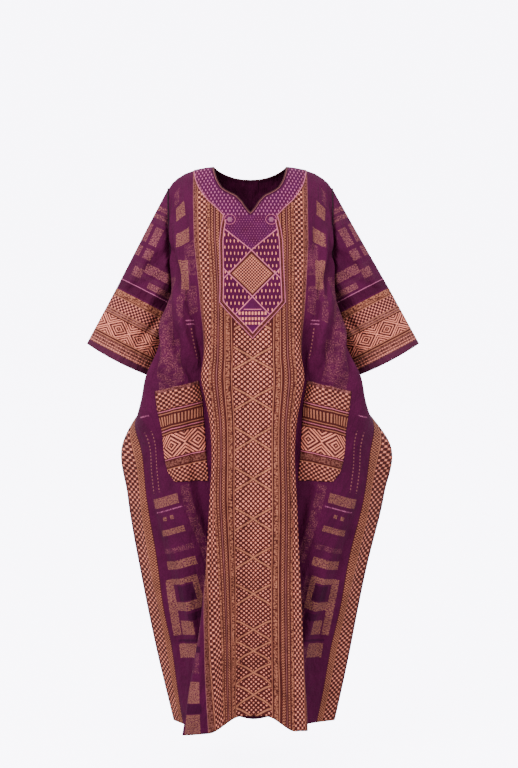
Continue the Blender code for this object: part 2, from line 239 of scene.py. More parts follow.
# The wearer's right has its columns changed by this much at the hem, and by less above it.
WIDE_FOLD_DOWNS = (0, 1000, 1250, HEM)
WIDE_FOLD = np.array((0, 60, 42, 4, 30, 44, -26, 0, 33, -26, 0, 20, -18, 0, 0))
BACK_FOLDS = np.array([
    # down, centre_y, crest s x y, valley s x y, field s x y, wing s x y, seam x y
    (0, 112, 60, 60, 111, 120, 118, 102, 160, 156, 90, 200, 190, 64, 212, 0),
    (100, 112, 60, 60, 112, 122, 119, 102, 165, 159, 92, 205, 194, 64, 210, 0),
    (200, 118, 62, 61, 121, 125, 121, 107, 172, 165, 100, 218, 197, 68, 208, 0),
    (320, 116, 66, 64, 126, 130, 124, 104, 184, 174, 106, 236, 205, 66, 206, 0),
    (384, 114, 68, 66, 128, 133, 126, 102, 196, 180, 110, 248, 212, 66, 213, -8),
    (486, 112, 70, 67, 132, 138, 126, 100, 210, 184, 116, 275, 226, 70, 226, -24),
    (550, 110, 72, 68, 135, 142, 125, 98, 222, 188, 120, 295, 238, 70, 240, -34),
    (600, 110, 73, 69, 137, 146, 125, 97, 232, 194, 122, 312, 256, 64, 262, -38),
    (650, 109, 74, 70, 139, 150, 125, 96, 242, 200, 122, 328, 284, 58, 302, -32),
    (716, 108, 76, 70, 142, 155, 123, 94, 252, 206, 122, 345, 296, 54, 337, -20),
    (850, 106, 80, 72, 146, 162, 118, 92, 258, 196, 128, 345, 280, 60, 326, -12),
    (1078, 102, 86, 74, 152, 175, 104, 90, 266, 168, 138, 345, 240, 70, 287, -8),
    (1250, 98, 92, 74, 158, 185, 92, 90, 272, 142, 146, 345, 206, 70, 252, -4),
    (HEM, 92, 98, 76, 164, 195, 78, 92, 278, 118, 152, 345, 166, 76, 208, 0)])
SIDE_EXTRA = np.array([
    # down, how much further the wearer's left side stands out
    (0, 0), (550, 0), (650, 4), (716, 15), (850, 12), (1000, 0), (HEM, 2)])
print("fold tables:", FRONT_FOLDS.shape, "and", BACK_FOLDS.shape)

# %% Smooth curves through the tables
def curve(keys, values, at):
    """A smooth curve through (key, value) rows.

    Between two rows it is the cubic that meets both values with the slope, at each row, of the
    parabola through that row and its two neighbours.
    """
    keys, values = np.broadcast_arrays(keys, values)
    gaps = np.diff(keys, axis=0)
    slopes = np.diff(values, axis=0) / gaps
    inner = (slopes[:-1] * gaps[1:] + slopes[1:] * gaps[:-1]) / (gaps[:-1] + gaps[1:])
    tangents = np.concatenate([slopes[:1], inner, slopes[-1:]])
    cell = np.clip((at >= keys).sum(axis=0) - 1, 0, len(keys) - 2)[None]

    def pick(rows, step=0):
        wide = np.broadcast_to(rows, (len(rows), cell.shape[1]))
        return np.take_along_axis(wide, cell + step, axis=0)[0]

    gap = pick(gaps)
    share = np.clip((at - pick(keys)) / gap, 0, 1)
    rest = 1 - share
    return (rest ** 2 * (1 + 2 * share) * pick(values)
            + share ** 2 * (1 + 2 * rest) * pick(values, 1)
            + share * rest * gap * (rest * pick(tangents) - share * pick(tangents, 1)))


def along(table, at, column=1):
    """One column of a table, as a smooth curve over its first column."""
    return curve(table[:, :1], table[:, column:column + 1], np.asarray(at, float))


def straight(table, at, column=1):
    """One column of a table, with straight lines between its rows."""
    return np.interp(at, table[:, 0], table[:, column])


def smooth_step(share):
    """0 to 1 with level ends: 3 share squared minus 2 share cubed."""
    share = np.clip(share, 0, 1)
    return share * share * (3 - 2 * share)


print("half width 600 mm down:", round(float(straight(HALF_WIDTH, 600))), "mm")

# %% The front and back as surfaces
def stations_at(folds, down, level):
    """Flat distance, X and Y of seven stations across the cloth, at each depth."""
    inner = [along(folds, down, column) for column in range(1, 8)]
    outer = [along(folds, level, column) for column in range(8, folds.shape[1])]
    half = straight(HALF_WIDTH, down)
    zero = np.zeros_like(half)
    keys = np.array([-inner[1], zero, inner[1], inner[4], outer[0], outer[3], half])
    x_at = np.array([-inner[2], zero, inner[2], inner[5], outer[1], outer[4], outer[6]])
    y_at = np.array([inner[3], inner[0], inner[3], inner[6], outer[2], outer[5], outer[7]])
    return keys, x_at, y_at


def panel(folds, rise, facing, across, down):
    """Points on the front (facing -1) or the back (facing +1).

    X and Y are smooth curves over the distance from the centre line, through the stations at
    that depth. Z is the depth below the shoulder line, plus the shoulder's fall and the droop.
    """
    side = np.abs(across)
    level = np.minimum(down + along(DROOP, down), HEM)
    keys, x_at, y_at = stations_at(folds, down, level)
    if facing < 0:
        share = np.interp(folds[:, 0], WIDE_FOLD_DOWNS, (0, 0, 0.5, 1))[:, None]
        change = np.hstack([np.zeros((len(folds), 1)), share * WIDE_FOLD])
        wide = stations_at(folds + change, down, level)
        pairs = zip((keys, x_at, y_at), wide)
        keys, x_at, y_at = (np.where(across < 0, other, plain) for plain, other in pairs)
    y_at[:-1] *= along(rise, down)
    share = np.clip(down / UNDERARM, 0, 1)
    above = down < UNDERARM
    arm_x = ARMHOLE_TOP_X + (ARMHOLE_FOOT_X - ARMHOLE_TOP_X) * share
    arm_y = 2 * ARMHOLE_DEPTH * np.sqrt(share * (1 - share))
    x_at[-1] = np.where(above, arm_x, x_at[-1])
    y_at[-1] = np.where(above, facing * arm_y, y_at[-1])
    x = curve(keys, x_at, side)
    y = curve(keys, y_at, side)
    extra = along(SIDE_EXTRA, level) * smooth_step((side - 200) / 200) * (across > 0)
    drop = straight(SHOULDER_DROP, side) * np.clip(1 - down / UNDERARM, 0, 1)
    droop = along(DROOP, down) * smooth_step((side - keys[2]) / (keys[-1] - keys[2]))
    low = smooth_step((down - LOW_FROM) / (HEM - LOW_FROM))
    if facing < 0:
        risen = smooth_step((down - LIFT_FROM) / (HEM - LIFT_FROM))
        crest = smooth_step((side - 60) / 60) * (1 - smooth_step((side - 150) / 50)) * (across > 0)
        lift = HEM_LIFT * risen * (1 - smooth_step((side - 34) / 66)) + LEFT_LIFT * crest * low
    else:
        lift = -BACK_DIP * low * (1 - smooth_step((side - 40) / 90))
    z = -(down + drop + droop) + lift
    x = np.sign(across) * (x + extra) + straight(LEAN, -z)
    return np.stack([x, y + facing * SEAM_GAP / 2, z], axis=-1)


def front(across, down):
    return panel(FRONT_FOLDS, FRONT_RISE, -1, across, down)


def back(across, down):
    return panel(BACK_FOLDS, BACK_RISE, 1, across, down)


front_middle = front(np.array([0.0]), np.array([700.0]))[0]
print("the front's centre, 700 mm down, is at", front_middle.round(1), "mm")

# %% [markdown]
# ## Creases
# The tables give the big folds. Real cotton also has small soft creases, where it is pulled from
# the underarm or where it buckles above the floor. Each is a ridge or a groove along a short
# line on the cut, with a bell-shaped section and ends that fade out.

# %% Creases of the front and back
FOLD_STRENGTH = 1.35
LEFT_CREASES_LOWER = 18.0
FRONT_CREASES = [
    # from across, down; to across, down; half width; height (grooves are negative)
    (246, 322, 172, 590, 10, -11), (226, 300, 160, 545, 9, 7), (196, 250, 150, 450, 8, -8),
    (262, 350, 226, 560, 9, 8), (236, 150, 204, 340, 9, -13), (214, 110, 182, 310, 9, 9),
    (212, 50, 250, 330, 9, 13),
    (270, 400, 250, 560, 7, -8), (182, 90, 160, 240, 8, -4), (160, 380, 156, 560, 7, -6),
    (208, 600, 182, 1080, 11, -7), (158, 560, 142, 900, 8, -5), (300, 800, 268, 1340, 12, 7),
    (330, 760, 312, 1300, 10, -7), (60, 700, 52, 1400, 16, 3), (96, 560, 104, 1380, 9, -4),
    (30, 1180, 22, 1436, 12, -5), (74, 1240, 66, 1430, 9, -4), (250, 980, 232, 1430, 10, -7),
    (360, 760, 350, 1200, 12, 6), (286, 1000, 252, 1434, 9, 6), (118, 800, 126, 1380, 10, 4)]
BACK_CREASES = [
    (236, 330, 150, 560, 10, -6), (210, 300, 140, 500, 9, 5), (90, 400, 84, 1300, 18, 4),
    (30, 300, 24, 1380, 22, -4), (220, 700, 196, 1400, 14, 6), (300, 760, 270, 1400, 14, -6),
    (140, 620, 130, 1380, 12, -4)]


def ridges(table, across, down, wobble=0.0):
    """How far a table of creases moves the cloth out, in millimetres.

    Each adds height * exp(-(distance from its line / half width) squared) * sin(pi * share along
    its line). Wobble bends the line by that share of the half width.
    """
    total = np.zeros_like(across)
    for from_s, from_t, to_s, to_t, width, height in table:
        run = np.array([to_s - from_s, to_t - from_t], float)
        length = np.hypot(*run)
        over, below = across - from_s, down - from_t
        share = np.clip((over * run[0] + below * run[1]) / length ** 2, 0, 1)
        away = (over * run[1] - below * run[0]) / length
        away = away + wobble * width * np.sin(share * 7 + from_s)
        total += height * np.exp(-(away / width) ** 2) * np.sin(pi * share)
    return total


def creases(table, across, down):
    """The panels' ridges, fading out at the side seam and the shoulder.

    The wearer's left has the same creases as the right, 18 mm lower. A fine ripple covers both.
    """
    side = np.abs(across)
    shift = np.where(across > 0, LEFT_CREASES_LOWER, 0.0)
    total = ridges(table, side, down - shift, 0.35)
    total += 0.7 * np.sin(down / 41 + np.sin(across / 37)) * smooth_step((side - 60) / 80)
    near_seam = smooth_step((straight(HALF_WIDTH, down) - side) / 30)
    return FOLD_STRENGTH * total * near_seam * smooth_step((down - 20) / 80)


def worn(facing, across, down, out=0.0):
    """Points of the front or back with its creases, moved `out` along the surface normal.

    The normal is the cross product of the two tangents, each from points 2 mm either side.
    """
    surface, table = (front, FRONT_CREASES) if facing < 0 else (back, BACK_CREASES)
    step = 2.0
    across, down = np.asarray(across, float), np.asarray(down, float)
    inside = np.clip(np.abs(across), 0, straight(HALF_WIDTH, down) - step)
    middle = np.where(across < 0, -inside, inside)
    low, high = np.clip(down - step, 0, HEM), np.clip(down + step, 0, HEM)
    over = surface(middle + step, down) - surface(middle - step, down)
    below = surface(middle, high) - surface(middle, low)
    normal = unit(np.cross(over, below) * facing)
    reach = np.asarray(out + creases(table, across, down))[..., None]
    return surface(across, down) + normal * reach


def worn_grid(facing, across, down, out=0.0):
    """The same for a whole grid."""
    out = np.broadcast_to(out, across.shape).ravel()
    return worn(facing, across.ravel(), down.ravel(), out).reshape(*across.shape, 3)


print("creases:", len(FRONT_CREASES), "on the front,", len(BACK_CREASES), "on the back")

# %% [markdown]
# ## The floor and the light
# The robe is shown in a pale studio. The floor is a wide dish that curves up into a wall all
# round, so it has no visible edge from any side. The light is soft: a pale sky, a big key light
# from the upper left and a weaker fill from the right.

# %% The floor
FLOOR_Z = -1545.0


def dish(radius, bend, wall, rows=48, columns=96):
    """A disc, then a quarter circle of radius `bend` that turns it up, then a straight wall."""
    flat = np.linspace(0, radius, rows // 3, endpoint=False)
    turn = np.linspace(0, pi / 2, rows // 3)
    rise = np.linspace(0, wall, rows // 3 + 1)[1:]
    out = np.concatenate([flat, radius + bend * np.sin(turn), np.full(len(rise), radius + bend)])
    up = np.concatenate([np.zeros(len(flat)), bend * (1 - np.cos(turn)), bend + rise])
    angle = np.linspace(0, 2 * pi, columns, endpoint=False)
    out[0] = 1.0
    points = np.stack([np.outer(out, np.cos(angle)), np.outer(out, np.sin(angle)),
                       np.repeat(up[:, None] + FLOOR_Z, columns, axis=1)], axis=-1)
    faces = grid_faces(*points.shape[:2], wrap_columns=True)[:, ::-1].tolist()
    return points, faces + [list(range(columns))]


floor_points, floor_faces = dish(7000, 1500, 6000)
floor_mesh = bpy.data.meshes.new("floor")
floor_mesh.from_pydata((floor_points.reshape(-1, 3) * MM).tolist(), [], floor_faces)
floor_mesh.shade_smooth()
floor = bpy.data.objects.new("floor", floor_mesh)
bpy.context.scene.collection.objects.link(floor)

paper = new_material("matt background paper", {
    "Base Color": linear("#f3f1f7"), "Roughness": 0.9, "Specular IOR Level": 0.1,
    "Emission Color": linear("#eeeafa"), "Emission Strength": 8.4})[0]
floor_mesh.materials.append(paper)
floor.visible_diffuse = False
floor.visible_glossy = False
print("floor:", len(floor_faces), "faces, at Z", FLOOR_Z, "mm")

# %% The light
sky = bpy.data.worlds.new("pale studio")
bpy.context.scene.world = sky
sky.use_nodes = True
background = sky.node_tree.nodes["Background"]
background.inputs["Color"].default_value = linear("#f6f5fb")
direction = add(sky.node_tree, "TexCoord")
height = add(sky.node_tree, "SeparateXYZ", direction.node.outputs["Generated"]).node.outputs[2]
strength = add(sky.node_tree, "MapRange", height, -0.6, 0.9, 0.55, 1.9)
sky.node_tree.links.new(strength, background.inputs["Strength"])


def soft_light(name, place, turn, size, watts):
    """A large square area light at a place in metres, turned by angles in degrees."""
    data = bpy.data.lights.new(name, "AREA")
    data.size = size
    data.energy = watts
    light = bpy.data.objects.new(name, data)
    light.location = place
    light.rotation_euler = [radians(angle) for angle in turn]
    bpy.context.scene.collection.objects.link(light)


soft_light("key light", (-2.4, -3.6, 1.6), (58, 0, -34), 1.8, 190)
soft_light("fill light", (2.8, -3.4, 0.4), (75, 0, 40), 2.2, 50)

# %% [markdown]
# ## Printed cotton
# The robe is wax-printed cotton: a plain weave, matt, dyed plum, with maroon bands and a salmon
# gold print that looks dusty because the wax cracks. The print follows the cloth, so its
# coordinates are the flat cut's own, in millimetres, kept in a UV map. Stripes beside the centre
# and at the sides depend only on the distance from the centre line. The blocks in the field are
# rectangles on the cut. Both are drawn with small pattern functions.

# %% Patterns on the cut
def cut_coordinates(tree):
    """The flat cut's coordinates in millimetres: a vector, then across and down."""
    uv = add(tree, "UVMap", uv_map="flat_cut")
    place = add(tree, "VectorMath", uv, 1000.0, operation="SCALE")
    across = add(tree, "SeparateXYZ", place)
    return place, across, across.node.outputs[1]


def times(tree, first, *others):
    """The values multiplied together: of masks, 1 where every one is 1."""
    for other in others:
        first = add(tree, "Math", first, other, operation="MULTIPLY")
    return first


def is_below(tree, value, limit):
    """1 where the value is less than the limit."""
    return add(tree, "Math", value, limit, operation="LESS_THAN")


def is_above(tree, value, limit):
    """1 where the value is more than the limit."""
    return add(tree, "Math", value, limit, operation="GREATER_THAN")


def distance(tree, value, middle=0.0):
    """How far the value is from a middle, without a sign."""
    gap = add(tree, "Math", value, middle, operation="SUBTRACT")
    return add(tree, "Math", gap, operation="ABSOLUTE")


def strip(tree, value, low, high):
    """1 where the value lies from low to high."""
    return add(tree, "Math", value, (low + high) / 2, (high - low) / 2, operation="COMPARE")


def block(tree, side, down, ends):
    """1 inside a rectangle on the cut. ends are its side from and to, and its down from and to."""
    return times(tree, strip(tree, side, *ends[:2]), strip(tree, down, *ends[2:4]))


def union(tree, masks):
    """The largest of several masks."""
    total = masks[0]
    for mask in masks[1:]:
        total = add(tree, "Math", total, mask, operation="MAXIMUM")
    return total


def wave(tree, value, period):
    """Cosine of the value, with a crest at every whole period."""
    return add(tree, "Math", times(tree, value, 2 * pi / period), operation="COSINE")


def diamonds(tree, side, down, period, level, height=None):
    """1 on diamonds in staggered rows: |cos(side wave) + cos(down wave)| above a level."""
    both = add(tree, "Math", wave(tree, side, period), wave(tree, down, height or period))
    return is_above(tree, distance(tree, both), level)


def lattice(tree, side, down, period, hole=0.62, knot=-0.42):
    """A net of diagonal lines: a mask of its lines, and one of the knots where they cross.

    The holes are the staggered diamonds where |cos(side wave) + cos(down wave)| is high. The
    knots are where the product of the two waves is most negative.
    """
    lines = add(tree, "Math", 1.0, diamonds(tree, side, down, period, hole), operation="SUBTRACT")
    both = times(tree, wave(tree, side, period), wave(tree, down, period))
    return lines, is_below(tree, both, knot)


def sloped_line(tree, side, down, slope, start, half):
    """1 on a line of the given half width where down = start + slope * side."""
    target = add(tree, "Math", side, slope, start, operation="MULTIPLY_ADD")
    return add(tree, "Math", down, target, half, operation="COMPARE")


def blotches(tree, place, size, detail, roughness, *levels):
    """Noise with spots of about `size`. levels are its from and to, and what they become."""
    noise = add(tree, "TexNoise", place, 1 / size, detail, roughness)
    return add(tree, "MapRange", noise, *levels)


def mottle(tree, place, size, low, high):
    """A patchy print: noise pushed towards 0 and 1."""
    return blotches(tree, place, size, 2.0, 0.6, low, high, 0.0, 1.0)


def paint(tree, under, over, mask):
    """The colour over, laid on the colour under wherever the mask is 1."""
    return add(tree, "Mix", mask, under, over, data_type="RGBA")


def chart(tree, value, span, stripes):
    """Flat stripes along a value: rows of (where it starts, colour), up to `span` mm."""
    ramp = add(tree, "ValToRGB", times(tree, value, 1 / span))
    stops = ramp.node.color_ramp
    stops.interpolation = "CONSTANT"
    for number, (start, colour) in enumerate(stripes):
        stop = stops.elements[0] if number == 0 else stops.elements.new(start / span)
        stop.position = start / span
        stop.color = colour
    last = max(stops.elements, key=lambda stop: stop.position)
    last.color = stripes[-1][1]
    return ramp


print("pattern helpers are ready")

# %% Colours of the dye
INK = {
    "plum": linear("#4a0a32"), "deep plum": linear("#3f0528"), "bright plum": linear("#500f40"),
    "maroon": linear("#481918"), "salmon": linear("#824d43"), "gold": linear("#aa6850"),
    "cream": linear("#ee8a72"), "old gold": linear("#8c5748"), "mauve": linear("#8b5150"),
    "pink": linear("#c0657a"), "rose": linear("#a35779"), "dark": linear("#3a0429"),
    "purple": linear("#501c35")}
print("inks:", ", ".join(INK))

# %% Stripes from printed rows
NET, DOTS, DUST, PLAIN = (1, 0, 0, 1), (0, 1, 0, 1), (0, 0, 1, 1), (0, 0, 0, 1)
BODY_NET, BODY_DOTS = 14.0, 7.2


def striped_print(tree, place, value, side, down, rows, span, net, dots):
    """The colour of rows of print along a value.

    Each row is (start, ground ink, print ink, kind), or (start, ink) where it is plain. NET
    prints a diagonal net in the print ink with cream knots, DOTS prints rows of dots, and DUST
    prints a patchy, dusty tone.
    """
    rows = [row if len(row) > 2 else (*row, row[1], PLAIN) for row in rows]
    ground = chart(tree, value, span, [(row[0], INK[row[1]]) for row in rows])
    printed = chart(tree, value, span, [(row[0], INK[row[2]]) for row in rows])
    kind = add(tree, "SeparateColor", chart(tree, value, span, [(row[0], row[3]) for row in rows]))
    lines, knots = lattice(tree, side, down, net)
    spots = diamonds(tree, side, down, dots, 0.8)
    dust = mottle(tree, place, 4.4, 0.43, 0.57)
    parts = [times(tree, *pair) for pair in zip(kind.node.outputs, (lines, spots, dust))]
    colour = paint(tree, ground, printed, union(tree, parts))
    return paint(tree, colour, INK["cream"], times(tree, kind, knots))


print("a net hole every", BODY_NET, "mm, a dot every", BODY_DOTS, "mm")

# %% [markdown]
# ## The print of the body
# Out from the centre line come the laced centre panel, a group of narrow stripes with one wide
# gold net, the plum field, and a border with the same net at the side seam. Each row below says
# where a stripe starts. The field's blocks stand in loose columns, like woven strip cloth.

# %% The body's print
BODY_ROWS = [
    (0, "maroon"), (43, "gold"), (44.5, "maroon"), (48, "maroon", "gold", DUST), (56, "maroon"),
    (59, "gold"), (60.5, "maroon"), (64, "maroon", "gold", DOTS), (71, "maroon"), (74, "mauve"),
    (76, "maroon"), (79, "maroon", "gold", DOTS), (85, "maroon"), (88, "maroon", "gold", DUST),
    (94, "maroon"), (96, "maroon", "salmon", NET), (131, "gold"), (132.5, "maroon"),
    (134.5, "maroon", "salmon", DUST), (145, "mauve"), (147.5, "plum"), (342, "maroon"),
    (344.5, "maroon", "gold", DOTS), (358, "gold"), (360, "maroon"), (362, "maroon", "salmon", NET),
    (396, "deep plum")]
FIELD_GOLD = [
    # side from, to; down from, to; slant as down per side
    (175, 200, 85, 125, .5), (165, 198, 165, 205, .5), (170, 195, 250, 325, 0),
    (245, 325, 815, 840, 0), (250, 315, 897, 912, 0), (250, 325, 978, 1000, 0),
    (258, 270, 1025, 1112, 0),
    (270, 332, 1025, 1040, 0), (318, 332, 1040, 1180, 0), (270, 332, 1088, 1112, 0),
    (285, 315, 1140, 1180, 0), (285, 325, 1205, 1245, 0), (165, 215, 1303, 1357, 0),
    (165, 215, 1385, 1440, 0), (270, 280, 865, 875, 0), (290, 300, 865, 875, 0)]
FIELD_MAUVE = [
    (190, 205, 30, 75, .5), (150, 180, 210, 265, .5), (148, 170, 250, 290, 0),
    (222, 258, 290, 560, 0), (150, 196, 318, 352, 0), (205, 222, 440, 545, 0),
    (190, 205, 330, 395, .5), (150, 170, 350, 395, .5), (215, 235, 800, 1000, 0),
    (245, 325, 945, 958, 0), (245, 262, 1030, 1180, 0), (255, 285, 1210, 1290, 0),
    (165, 215, 1145, 1214, 0), (165, 215, 1232, 1282, 0)]
FIELD_PINK = [
    (160, 185, 400, 403, 0), (160, 185, 409, 412, 0), (290, 315, 603, 606, 0),
    (240, 320, 849, 852, 0)]
FIELD_DARK = [
    (270, 305, 1045, 1085, 0), (265, 290, 1120, 1140, 0), (245, 325, 1193, 1200, 0),
    (160, 215, 1216, 1230, 0), (160, 215, 1359, 1383, 0)]
FIELD_DOTTED = [(171, 174, 420, 495, 0), (299, 302, 640, 800, 0), (318, 321, 640, 800, 0)]
LACE_HALF = 43.0            # half the width of the laced centre panel
NET_START = 96.0            # where the wide net starts, at the hem
FIELD_FROM = 150.5
RIGHT_SHIFT = 46.0


def blocks(tree, side, down, slanted, rows):
    """The union of rectangles, some of them on the slanted depth."""
    return union(tree, [block(tree, side, slanted if row[4] else down, row) for row in rows])


def stripe_place(tree, side, down):
    """The distance at which a stripe is looked up.

    On the chest the wide net runs 16 mm further out than at the hem, and is narrower. It comes in
    between 200 and 500 mm down. Past the net's own border the distance is the true one.
    """
    start = add(tree, "MapRange", down, 200.0, 500.0, NET_START + 16, NET_START)
    spread = add(tree, "MapRange", down, 420.0, 600.0, 0.35, 0.0)
    past = add(tree, "Math", side, start, operation="SUBTRACT")
    outside = add(tree, "Math", past, 0.0, operation="MAXIMUM")
    wider = add(tree, "Math", outside, spread, past, operation="MULTIPLY_ADD")
    inner = add(tree, "Math", wider, NET_START)
    inner = add(tree, "Math", inner, 147.9, operation="MINIMUM")
    field = times(tree, side, is_above(tree, side, FIELD_FROM))
    return add(tree, "Math", inner, field, operation="MAXIMUM")


def print_side(tree, across, down):
    """The distance from the centre line at which the print is looked up.

    Towards the hem the wearer's right has its print up to RIGHT_SHIFT mm nearer the centre than
    the left. The shift starts past the laced panel and fades out before the border at the seam.
    """
    side = distance(tree, across)
    lower = add(tree, "MapRange", down, 850.0, HEM, 0.0, RIGHT_SHIFT)
    inner = add(tree, "MapRange", side, LACE_HALF, 88.0)
    outer = add(tree, "MapRange", side, 200.0, 330.0, 1.0, 0.0)
    shift = times(tree, lower, inner, outer, is_below(tree, across, 0.0))
    return add(tree, "Math", side, shift)


def body_print(tree, place, across, down):
    """The printed colour of the front and back panels."""
    side = print_side(tree, across, down)
    leaning = add(tree, "Math", side, -0.5, 90.0, operation="MULTIPLY_ADD")
    slanted = add(tree, "Math", down, leaning)
    colour = striped_print(tree, place, stripe_place(tree, side, down), side, down, BODY_ROWS,
                           420, BODY_NET, BODY_DOTS)
    dusty = mottle(tree, place, 3.0, 0.40, 0.56)
    broken = mottle(tree, place, 15.0, 0.36, 0.54)
    faint = times(tree, mottle(tree, place, 2.6, 0.46, 0.66), broken, 0.7)
    for ink, rows, texture in (("old gold", FIELD_GOLD, dusty), ("mauve", FIELD_MAUVE, faint),
                               ("dark", FIELD_DARK, None), ("rose", FIELD_PINK, dusty)):
        mask = blocks(tree, side, down, slanted, rows)
        mask = times(tree, mask, texture) if texture else mask
        colour = paint(tree, colour, INK[ink], mask)
    beads = is_above(tree, wave(tree, down, 9.0), 0.1)
    beaded = times(tree, blocks(tree, side, down, slanted, FIELD_DOTTED), beads)
    colour = paint(tree, colour, INK["mauve"], beaded)
    return paint(tree, colour, lace(tree, side, down), strip(tree, side, -1, LACE_HALF))


def lace(tree, side, down):
    """The centre panel: cream dots in staggered rows, and hexagons. The dots shrink towards the
    hem, a painted shade that darkens the panel's lower part.

    The hexagons' tips are 100 mm apart down to 1170 mm, and 60 mm apart below. A line runs from
    each tip to the panel's edge, 0.65 mm down for each mm across.
    """
    # The dot levels rise towards the hem, so fewer and smaller dots show there: painted shade that
    # darkens the lower centre panel.
    outer = add(tree, "MapRange", down, 850.0, 1250.0, 0.90, 1.10)
    inner = add(tree, "MapRange", down, 850.0, 1250.0, 1.20, 1.45)
    dotted = paint(tree, INK["maroon"], INK["salmon"], diamonds(tree, side, down, 12.4, outer))
    dotted = paint(tree, dotted, INK["cream"], diamonds(tree, side, down, 12.4, inner))
    upper = add(tree, "Math", down, 50.0, operation="PINGPONG")
    lower = add(tree, "Math", down, 30.0, operation="PINGPONG")
    from_tip = add(tree, "Mix", is_above(tree, down, 1170.0), upper, lower)
    for ink, half in (("maroon", 5.2), ("gold", 2.7)):
        dotted = paint(tree, dotted, INK[ink], sloped_line(tree, side, from_tip, .65, 0.0, half))
    return dotted


print("body:", len(BODY_ROWS), "stripes and", sum(map(len, (
    FIELD_GOLD, FIELD_MAUVE, FIELD_PINK, FIELD_DARK, FIELD_DOTTED))), "field marks")

# %% [markdown]
# ## Cotton as a material
# Plain-woven cotton of this weight has about 30 threads to the centimetre and no shine, with an
# IOR near 1.5, a roughness near 0.8 and a faint bloom at grazing angles from its fibre ends.
# Threads 0.35 mm wide would never show, so the weave is drawn 1.4 mm wide.

# %% The cotton
WEAVE = 2.8                 # one thread over and one under, each 1.4 mm wide


def woven_cotton(name, print_of, crumple=1.0):
    """A matt cotton whose colour is print_of(tree, place, across, down)."""
    material, tree, shader = new_material(name, {
        "IOR": 1.5, "Specular IOR Level": 0.1, "Sheen Weight": 0.015, "Sheen Roughness": 0.6,
        "Sheen Tint": linear("#d9b5c4")})
    place, across, down = cut_coordinates(tree)
    colour = print_of(tree, place, across, down)
    dye = blotches(tree, place, 55, 3.0, 0.6, 0.25, 0.75, 0.80, 1.18)
    fleck = blotches(tree, place, 2.6, 1.0, 0.5, 0.3, 0.7, 0.84, 1.16)
    colour = add(tree, "VectorMath", colour, times(tree, dye, fleck), operation="SCALE")
    tree.links.new(colour, shader["Base Color"])
    rough = add(tree, "MapRange", fleck, 0.84, 1.16, 0.84, 0.72)
    tree.links.new(rough, shader["Roughness"])
    weave = times(tree, wave(tree, across, WEAVE), wave(tree, down, WEAVE))
    fine = add(tree, "Bump", 0.35, 0.0002)
    tree.links.new(weave, fine.node.inputs["Height"])
    stretched = add(tree, "VectorMath", place, (1.0, 0.35, 1.0), operation="MULTIPLY")
    folds = add(tree, "TexNoise", stretched, 1 / 17, 3.0, 0.55)
    soft = add(tree, "Bump", 0.9, 0.010 * crumple)
    tree.links.new(folds, soft.node.inputs["Height"])
    tree.links.new(fine, soft.node.inputs["Normal"])
    tree.links.new(soft, shader["Normal"])
    return material


def plain_plum(tree, place, across, down):
    """The reverse of the cloth, where the print only shows as a darker and a paler bloom."""
    patch = mottle(tree, place, 30.0, 0.35, 0.65)
    return paint(tree, INK["deep plum"], INK["plum"], patch)


body_cotton = woven_cotton("wax printed cotton", body_print)
reverse_cotton = woven_cotton("reverse of the cotton", plain_plum)
print("body cotton:", len(body_cotton.node_tree.nodes), "nodes")

# %% [markdown]
# ## The two panels
# A panel is a grid on the flat cut, denser across the folds than down them. Its cells are about
# 3 mm wide at the shoulder and 6 mm at the hem. A wall of 0.8 mm makes it cloth and not a skin.

# %% Grids on the cut
SEAM_INSET = 1 - 0.15 / 400  # the share of the half width that the cloth reaches


def cut_grid(half_shares, shares, lower, neckline):
    """Signed distances across and down over a whole panel, right up to its neckline."""
    signed = np.concatenate([-half_shares[:0:-1], half_shares])
    first = np.abs(signed) * SHOULDER_HALF
    top = np.where(first < NECK_HALF - 0.01, along(neckline, np.minimum(first, NECK_HALF)), 0)
    upper = top + shares[:, None] * (UNDERARM - top)
    down = np.vstack([upper, np.repeat(lower[:, None], len(signed), axis=1)])
    return signed * straight(HALF_WIDTH, down) * SEAM_INSET, down


def cloth_piece(name, points, flat, facing, thickness, cotton, node, wrap=False):
    """One cut piece of cloth over its flat distances (across, down), in place of a CAD node.

    The grid's faces point outward as they are when facing is -1, and are turned over for 1. The
    wall is on the outer side, with the reverse of the cotton inside.
    """
    faces = grid_faces(*flat[0].shape, wrap_columns=wrap)
    faces = faces if facing < 0 else faces[:, ::-1]
    piece = new_piece(name, points, faces, np.stack(flat, axis=-1))
    piece.data.materials.append(cotton)
    piece.data.materials.append(reverse_cotton)
    wall = piece.modifiers.new("cloth wall", "SOLIDIFY")
    wall.thickness = thickness * MM
    wall.offset = 1
    wall.material_offset = 1
    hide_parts(node)
    return piece


def cut_area(points):
    """Area of a grid of points, in square metres, from the cross products of its diagonals."""
    first, second = points[1:, 1:] - points[:-1, :-1], points[1:, :-1] - points[:-1, 1:]
    return float(np.linalg.norm(np.cross(first, second), axis=-1).sum() / 2 * MM ** 2)


neck_share = NECK_HALF / SHOULDER_HALF
half_shares = np.concatenate([np.linspace(0, neck_share, 30), np.linspace(neck_share, 1, 42)[1:]])
upper_shares = np.linspace(0, 1, 56) ** 1.25
lower_rows = np.linspace(UNDERARM + 5.5, HEM, 190)
print("grid:", 2 * len(half_shares) - 1, "by", len(upper_shares) + len(lower_rows))

# %% The front and the back
CLOTH = 0.8


def body_panel(name, facing, neckline, node):
    flat = cut_grid(half_shares, upper_shares, lower_rows, neckline)
    points = worn_grid(facing, *flat)
    piece = cloth_piece(name, points, flat, facing, CLOTH, body_cotton, node)
    print(name, "hangs with", round(cut_area(points), 3), "square metres of cloth")


body_panel("front_cloth", -1, FRONT_NECKLINE, "front_panel")
body_panel("back_cloth", 1, BACK_NECKLINE, "back_panel")

# %% [markdown]
# ## The sleeves
# Each sleeve is one piece of cloth folded along its upper edge and sewn into a wide, flattened
# tube, from the armhole to a slanting cuff. Its print is laid square to the cuff: "up" is the
# distance from the cuff line, and "over" the distance from the upper fold.

